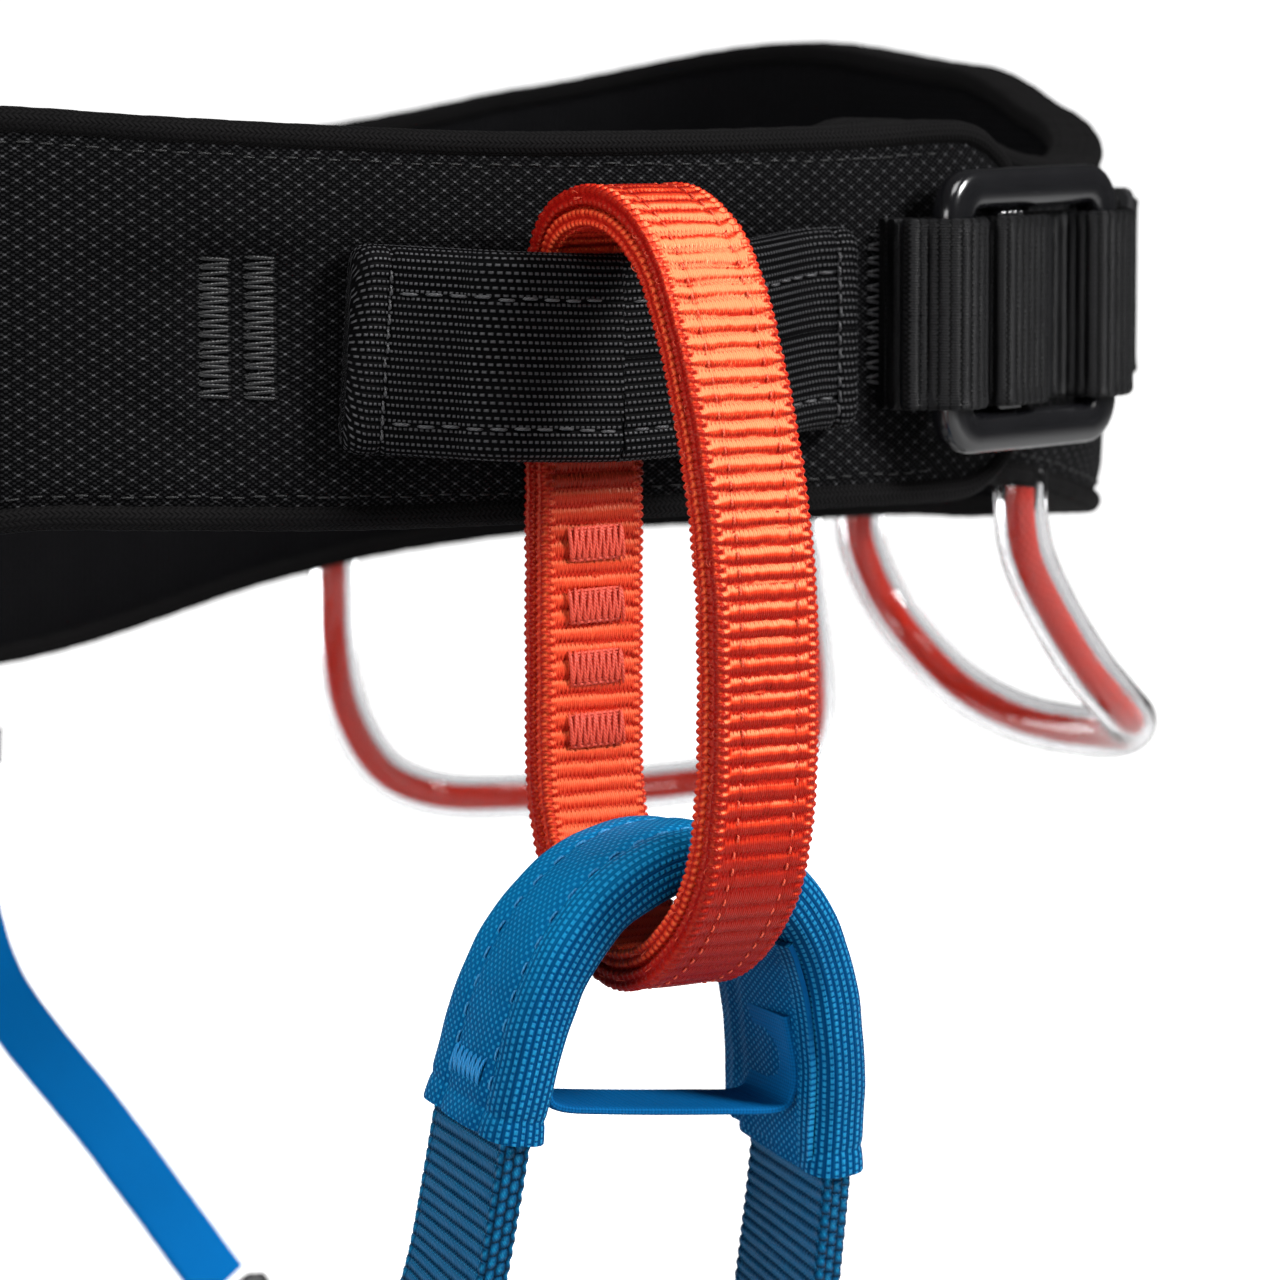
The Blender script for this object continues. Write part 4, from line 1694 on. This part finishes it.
def leg_front_strap(where, side, body):
    """Webbing from the crosspiece down onto the pad, turning and thinning as it goes, and the
    bar tack at its foot."""
    per, foot_thick, twist_to = 7, 2.6, radians(55)
    dense = catmull(mirrored(FRONT_STRAP, side), 24)
    count = int(round(length_of(dense)[-1] / CROSS_PITCH)) * per + 1
    path = smooth_line(resample(dense, count), 6)
    turn = ease((np.linspace(0, 1, count) - 0.1) / 0.9 * 1.35)[:, None]
    start_wide = np.array([0.0, -1.0, 0.0])
    end_wide = np.array([side * sin(twist_to), -cos(twist_to), 0.0])
    wide, normal = frames(path, unit((1 - turn) * start_wide + turn * end_wide))
    thick = (CROSS_THICK + (foot_thick - CROSS_THICK) * turn[:, 0]) / CROSS_THICK
    run = np.arange(count) * (CROSS_PITCH / per)
    shape = section(CROSS_WEB, CROSS_THICK, 0.8, 0.5)
    swell = ribs(run, shape, CROSS_PITCH, depth=0.3, bead=0.4, columns=3, seed=8.0, zigzag=0.03)
    # The ribs call above has its zigzag; the strap is a hair narrower than the crosspiece.
    grid = loft(path, wide, normal, shape, swell, (0.985, thick * 0.99))
    obj = make_grid(f"v_leg_front_strap_{where}", grid, run, shape[2], MATERIAL["blue"])
    attach(obj, "blue_webbing", None, f"leg_front_strap_{where}")
    blend(obj, (side * 29.9, -119.5, -145.5), (side * 40.0, -106.0, -176.0))

    k = int(count * 0.93)
    along = unit(path[k] - path[k - 3])
    centre = np.array([side * LEG_X, LEG_Y, path[k][2]])
    out = normal[k] * np.sign(np.dot(normal[k], path[k] - centre))
    lines = [path[k] + along * ((j - 6) * 0.62 + 0.2 * alternate(j))
             + np.outer(THREAD * 6.5, wide[k]) + np.outer(1.35 + arched(0.2, 0), out)
             for j in range(12)]
    attach(tubes(f"v_leg_front_bartack_{where}", lines, 0.26, MATERIAL["t_blue_dark"]),
           "blue_webbing", body)


def riser_strip(name, line, start_wide, end_wide, wave, seed):
    """Elastic with fine lengthwise ridges, its width turning from one direction to another."""
    path, run = spaced(catmull(line, 20), step=0.8, passes=8)
    turn = ease(np.linspace(0, 1, len(path)))[:, None]
    wide, normal = frames(path, unit((1 - turn) * start_wide + turn * end_wide))
    shape = section(RISER_WEB, RISER_THICK, 0.75, 0.45)
    swell = (0.06 * np.abs(np.sin(pi * shape[2][:-1] / 1.24)) - 0.05
             + wave * ripple(run * 0.4, seed)[:, None])
    return make_grid(name, loft(path, wide, normal, shape, swell), run, shape[2],
                     MATERIAL["riser"])


def riser_hook(name, base, along, wide, length):
    """A rounded body with a waist and two shallow grooves."""
    out = np.cross(along, wide)
    angles = 2 * pi * np.arange(28) / 28
    stations = np.linspace(0, length, 23)
    rings = []
    for x in stations:
        f = x / length
        to_end = min(f, 1 - f)
        half_w = 6.0 + 2.0 * ease(to_end / 0.16) - 0.5 * gauss(f - 0.5, 0.16)
        half_t = (1.9 * (0.75 + 0.25 * ease(to_end / 0.12))
                  - 0.25 * gauss(f - 0.32, 0.05) - 0.25 * gauss(f - 0.68, 0.05))
        rings.append(base + along * x
                     + np.outer(half_w * signed_power(np.cos(angles), 0.45), wide)
                     + np.outer(half_t * signed_power(np.sin(angles), 0.6), out))
    return make_grid(name, np.array(rings), stations, np.arange(29) * 1.2, MATERIAL["plastic"],
                     angle=50)


def riser(where, side, body):
    """Elastic from the belt's rear down to the leg loop, with its hook and adjuster."""
    level = np.array([1.0, 0.0, 0.0])
    obj = riser_strip(f"v_riser_upper_{where}", mirrored(RISER_TOP + RISER_FALL, side),
                      level, level, wave=0.05, seed=side)
    attach(obj, "riser_elastic", None, f"riser_upper_{where}")
    fall = mirrored(RISER_FALL, side)
    blend(obj, (side * RISER_X, 107.6, -88.0), fall[-1])

    dense = catmull(fall, 16)
    along = unit(dense[-1] - dense[-3])
    wide = unit(level - along[0] * along)
    hook = dense[-1] + along * 2.0
    obj = riser_hook(f"v_riser_hook_{where}", hook, along, wide, length=11.0)
    attach(obj, "black_plastic", body, f"riser_hook_{where}")

    start = hook + along * 10.2
    line = [start, start + along * 3.6]
    for degrees, off, z in ((104, 9.0, -199.5), (101.5, 2.4, -207.5), (101, 1.4, -213.0),
                            (101, 1.4, -221.0)):
        line.append((*leg_xy(side, degrees, off), z))
    tangent = np.array([-side * sin(radians(101)), cos(radians(101)), 0.0])
    tangent *= np.sign(np.dot(tangent, wide))
    obj = riser_strip(f"v_riser_lower_{where}", line, wide, tangent, wave=0.04, seed=3)
    attach(obj, "riser_elastic", body, f"riser_lower_{where}")

    path = [(side * RISER_X, 107.75, -84.0 + x) for x in np.linspace(3, -3, 13)]
    hollow(f"v_riser_slider_{where}", path, level, outer_size=(14.4, 5.6),
           inner_size=(12.4, 3.2), corner=1.2, body=f"riser_adjuster_{where}",
           node=f"riser_slider_{where}", lip=0.2)

    # stitching that holds the riser's top to the belt
    lines = [np.stack([side * RISER_X + 4.4 * THREAD, 110.75 + arched(0.12, 0.25),
                       -59.5 - 0.7 * k + 0.2 * THREAD * alternate(k)], 1) for k in range(9)]
    attach(tubes(f"v_riser_bartack_{where}", lines, 0.24, MATERIAL["t_blue_dark"]),
           "riser_elastic", "waist")


def legs_and_risers():
    for where, side in SIDES:
        for build in (leg_pad, leg_buckle, leg_bartacks, leg_front_strap, riser):
            build(where, side, "leg_" + where)


# ================================================================ gear loops and haul loop

def round_sweep(name, line, radius, material, step, sides, swell, bore=None):
    """Round cord or, with a bore radius, tube; swell(run, angle) adds to its radius."""
    path, run = spaced(catmull(line, 20), step, passes=6, extra=1)
    wide, normal = frames(path, np.cross(unit(line[-1] - line[0]), UP))
    angles = 2 * pi * np.arange(sides) / sides
    ring = (np.cos(angles)[:, None] * wide[:, None, :]
            + np.sin(angles)[:, None] * normal[:, None, :])
    radii = radius + swell(run[:, None], angles[None, :])
    around = np.arange(sides + 1) * 2 * pi * radius / sides
    points = path[:, None, :] + radii[..., None] * ring
    if bore:
        inner = path[:, None, :] + bore * ring
        points = np.concatenate([points, inner[::-1]])
        run = np.concatenate([run, run[::-1], run[:1]])
    return make_grid(name, points, run, around, material, closed=bool(bore)), path


def tube_swell(run, angle):
    return 0.06 * ripple(run * 0.12, 3.0)


def braid_swell(run, angle):
    return 0.10 * np.maximum(np.abs(np.sin(run * 1.73 + angle * 2)),
                             np.abs(np.sin(run * 1.73 - angle * 2)))


def gear_loops():
    rear = [(*waist_xy(degrees, off), z) for degrees, off, z in GEAR_REAR]
    tail = np.array([0, 0, GEAR_TAIL])
    for which, points in (("front", GEAR_FRONT), ("rear", rear)):
        for where, side in SIDES:
            place = f"{which}_{where}"
            line = mirrored(points, side)
            if which == "front" and side < 0:
                for i, (degrees, off) in enumerate(GEAR_FRONT_RIGHT):
                    line[i, :2] = waist_xy(degrees, off)
            line = np.vstack([line[0] + tail, line, line[-1] + tail])
            tube, path = round_sweep(f"v_gear_tube_{place}", line, GEAR_OD / 2, MATERIAL["tube"],
                                     step=1.6, sides=28, swell=tube_swell, bore=GEAR_BORE / 2)
            attach(tube, "clear_tube", None, f"gear_loop_tube_{place}")
            cord, _ = round_sweep(f"v_gear_cord_{place}", line, GEAR_CORD / 2 - 0.1,
                                  MATERIAL["cord"], step=0.8, sides=16, swell=braid_swell)
            attach(cord, "red_cord", None, f"gear_loop_cord_{place}")
            # the ends stay in the belt while the loop swings
            middle = (path[0] + path[-1]) / 2
            for obj in (tube, cord):
                blend(obj, middle - (0, 0, 5.5), middle - (0, 0, 15.0))


def haul_loop():
    line = [(0, HAUL_Y + y, z) for y, z in HAUL_LINE]
    obj = webbing("v_haul_loop", line, (1, 0, 0), width=12.0, thick=WEB_THICK, pitch=BLACK_PITCH,
                  depth=0.25, material=MATERIAL["black"], closed=True, per=5, seed=2)
    attach(obj, "black_webbing", "haul_loop", "haul_loop")
    tab = [(x, y, HAUL_TAB_Z) for x, y in HAUL_TAB]
    obj = webbing("v_haul_tab", tab, UP, width=4.2, thick=1.9, pitch=BLACK_PITCH, depth=0.15,
                  material=MATERIAL["black"], per=5, seed=2, step=0.5)
    attach(obj, "black_webbing", "waist")


def inner_layers():
    """CAD pieces that stay shown: the layers inside the pads."""
    for name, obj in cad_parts.items():
        if not obj.hide_render:
            obj.data.materials.clear()
            obj.data.materials.append(MATERIAL["foam" if "foam" in name else "hidden"])


waist_belt()
waist_buckle()
tie_band()
belay_loop()
crosspiece()
legs_and_risers()
gear_loops()
haul_loop()
inner_layers()


# ================================================================ stage, light, camera (metres)

def seen_directly(tree):
    """1 for camera rays and rays through clear parts, otherwise 0."""
    rays = tree.nodes.new("ShaderNodeLightPath")
    either = tree.nodes.new("ShaderNodeMath")
    either.operation = "MAXIMUM"
    tree.links.new(rays.outputs["Is Camera Ray"], either.inputs[0])
    tree.links.new(rays.outputs["Is Transmission Ray"], either.inputs[1])
    return either.outputs[0]


def floor_material():
    """Grey to the light, glowing white to the camera."""
    material = bpy.data.materials.new("m_floor")
    material.use_nodes = True
    tree = material.node_tree
    shader = tree.nodes["Principled BSDF"]
    glow = tree.nodes.new("ShaderNodeMath")
    glow.operation = "MULTIPLY"
    glow.inputs[1].default_value = 1.06
    tree.links.new(seen_directly(tree), glow.inputs[0])
    tree.links.new(glow.outputs[0], shader.inputs["Emission Strength"])
    shader.inputs["Base Color"].default_value = (0.55, 0.55, 0.55, 1)
    shader.inputs["Roughness"].default_value = 0.9
    shader.inputs["Emission Color"].default_value = (1, 1, 1, 1)
    return material


def studio_floor():
    """Flat floor that curves up into a wall behind."""
    half_w, bend_at, bend, flat_rows, bend_rows = 12.0, 7.0, 4.0, 40, 20
    floor_z = float(cad_lo[2]) - 0.012
    angles = np.linspace(0, pi / 2, bend_rows)
    ys = [*np.linspace(-6.0, bend_at, flat_rows), *(bend_at + bend * np.sin(angles)),
          bend_at + bend]
    zs = [*np.zeros(flat_rows), *(bend * (1 - np.cos(angles))), 9.0]
    verts = [(x, float(y), floor_z + float(z)) for y, z in zip(ys, zs) for x in (-half_w, half_w)]
    faces = [(2 * i, 2 * i + 1, 2 * i + 3, 2 * i + 2) for i in range(flat_rows + bend_rows)]
    mesh = bpy.data.meshes.new("studio_floor")
    mesh.from_pydata(verts, [], faces)
    mesh.shade_smooth()
    floor = bpy.data.objects.new("studio_floor", mesh)
    floor.rotation_euler = (0, 0, radians(-33))
    bpy.context.scene.collection.objects.link(floor)
    mesh.materials.append(floor_material())


def studio_world(ambient):
    """White to the camera, a faint ambient light to everything else."""
    world = bpy.data.worlds.new("studio_world")
    bpy.context.scene.world = world
    world.use_nodes = True
    tree = world.node_tree
    power = tree.nodes.new("ShaderNodeMapRange")
    power.inputs[3].default_value, power.inputs[4].default_value = ambient, 1.0
    tree.links.new(seen_directly(tree), power.inputs[0])
    background = tree.nodes["Background"]
    tree.links.new(power.outputs[0], background.inputs[1])
    background.inputs[0].default_value = (1.0, 1.0, 1.0, 1)


def area(name, at, look, size, energy):
    light = bpy.data.lights.new(name, "AREA")
    light.shape = "RECTANGLE"
    light.size, light.size_y = size
    light.energy = energy
    light.color = (1, 1, 1)
    obj = bpy.data.objects.new(name, light)
    obj.location = at
    obj.rotation_euler = (Vector(look) - Vector(at)).to_track_quat("-Z", "Y").to_euler()
    bpy.context.scene.collection.objects.link(obj)
    return obj


def camera():
    data = bpy.data.cameras.new("camera")
    obj = bpy.data.objects.new("camera", data)
    obj.location = (-0.4862, -0.7164, 0.101)
    obj.rotation_euler = Vector((0.5415, 0.8339, -0.1064)).to_track_quat("-Z", "Y").to_euler()
    data.sensor_width = 36.0
    data.lens = 181.0
    data.clip_start, data.clip_end = 0.01, 60.0
    data.dof.use_dof = True
    focus = bpy.data.objects.new("focus", None)
    focus.location = (0.0, 0.018, 0.02)
    focus.empty_display_size = 0.01
    bpy.context.scene.collection.objects.link(focus)
    data.dof.focus_object = focus
    data.dof.aperture_fstop = 32.0
    bpy.context.scene.collection.objects.link(obj)
    bpy.context.scene.camera = obj


studio_floor()
studio_world(ambient=0.07)
area("key", at=(0.85, -0.95, 0.85), look=(0, 0.02, 0.0), size=(0.45, 0.45), energy=34.0)
area("fill_left", at=(-1.4, -0.35, 0.15), look=(0, 0.05, 0.0), size=(0.7, 0.7), energy=11.0)
area("top", at=(-0.25, -0.35, 1.45), look=(0, 0.05, 0.0), size=(0.8, 0.8), energy=14.0)
back_light = area("back", at=(0.0, 1.65, 0.02), look=(0, 0.1, -0.08), size=(1.3, 0.7),
                  energy=30.0)
back_light.visible_glossy = False
camera()
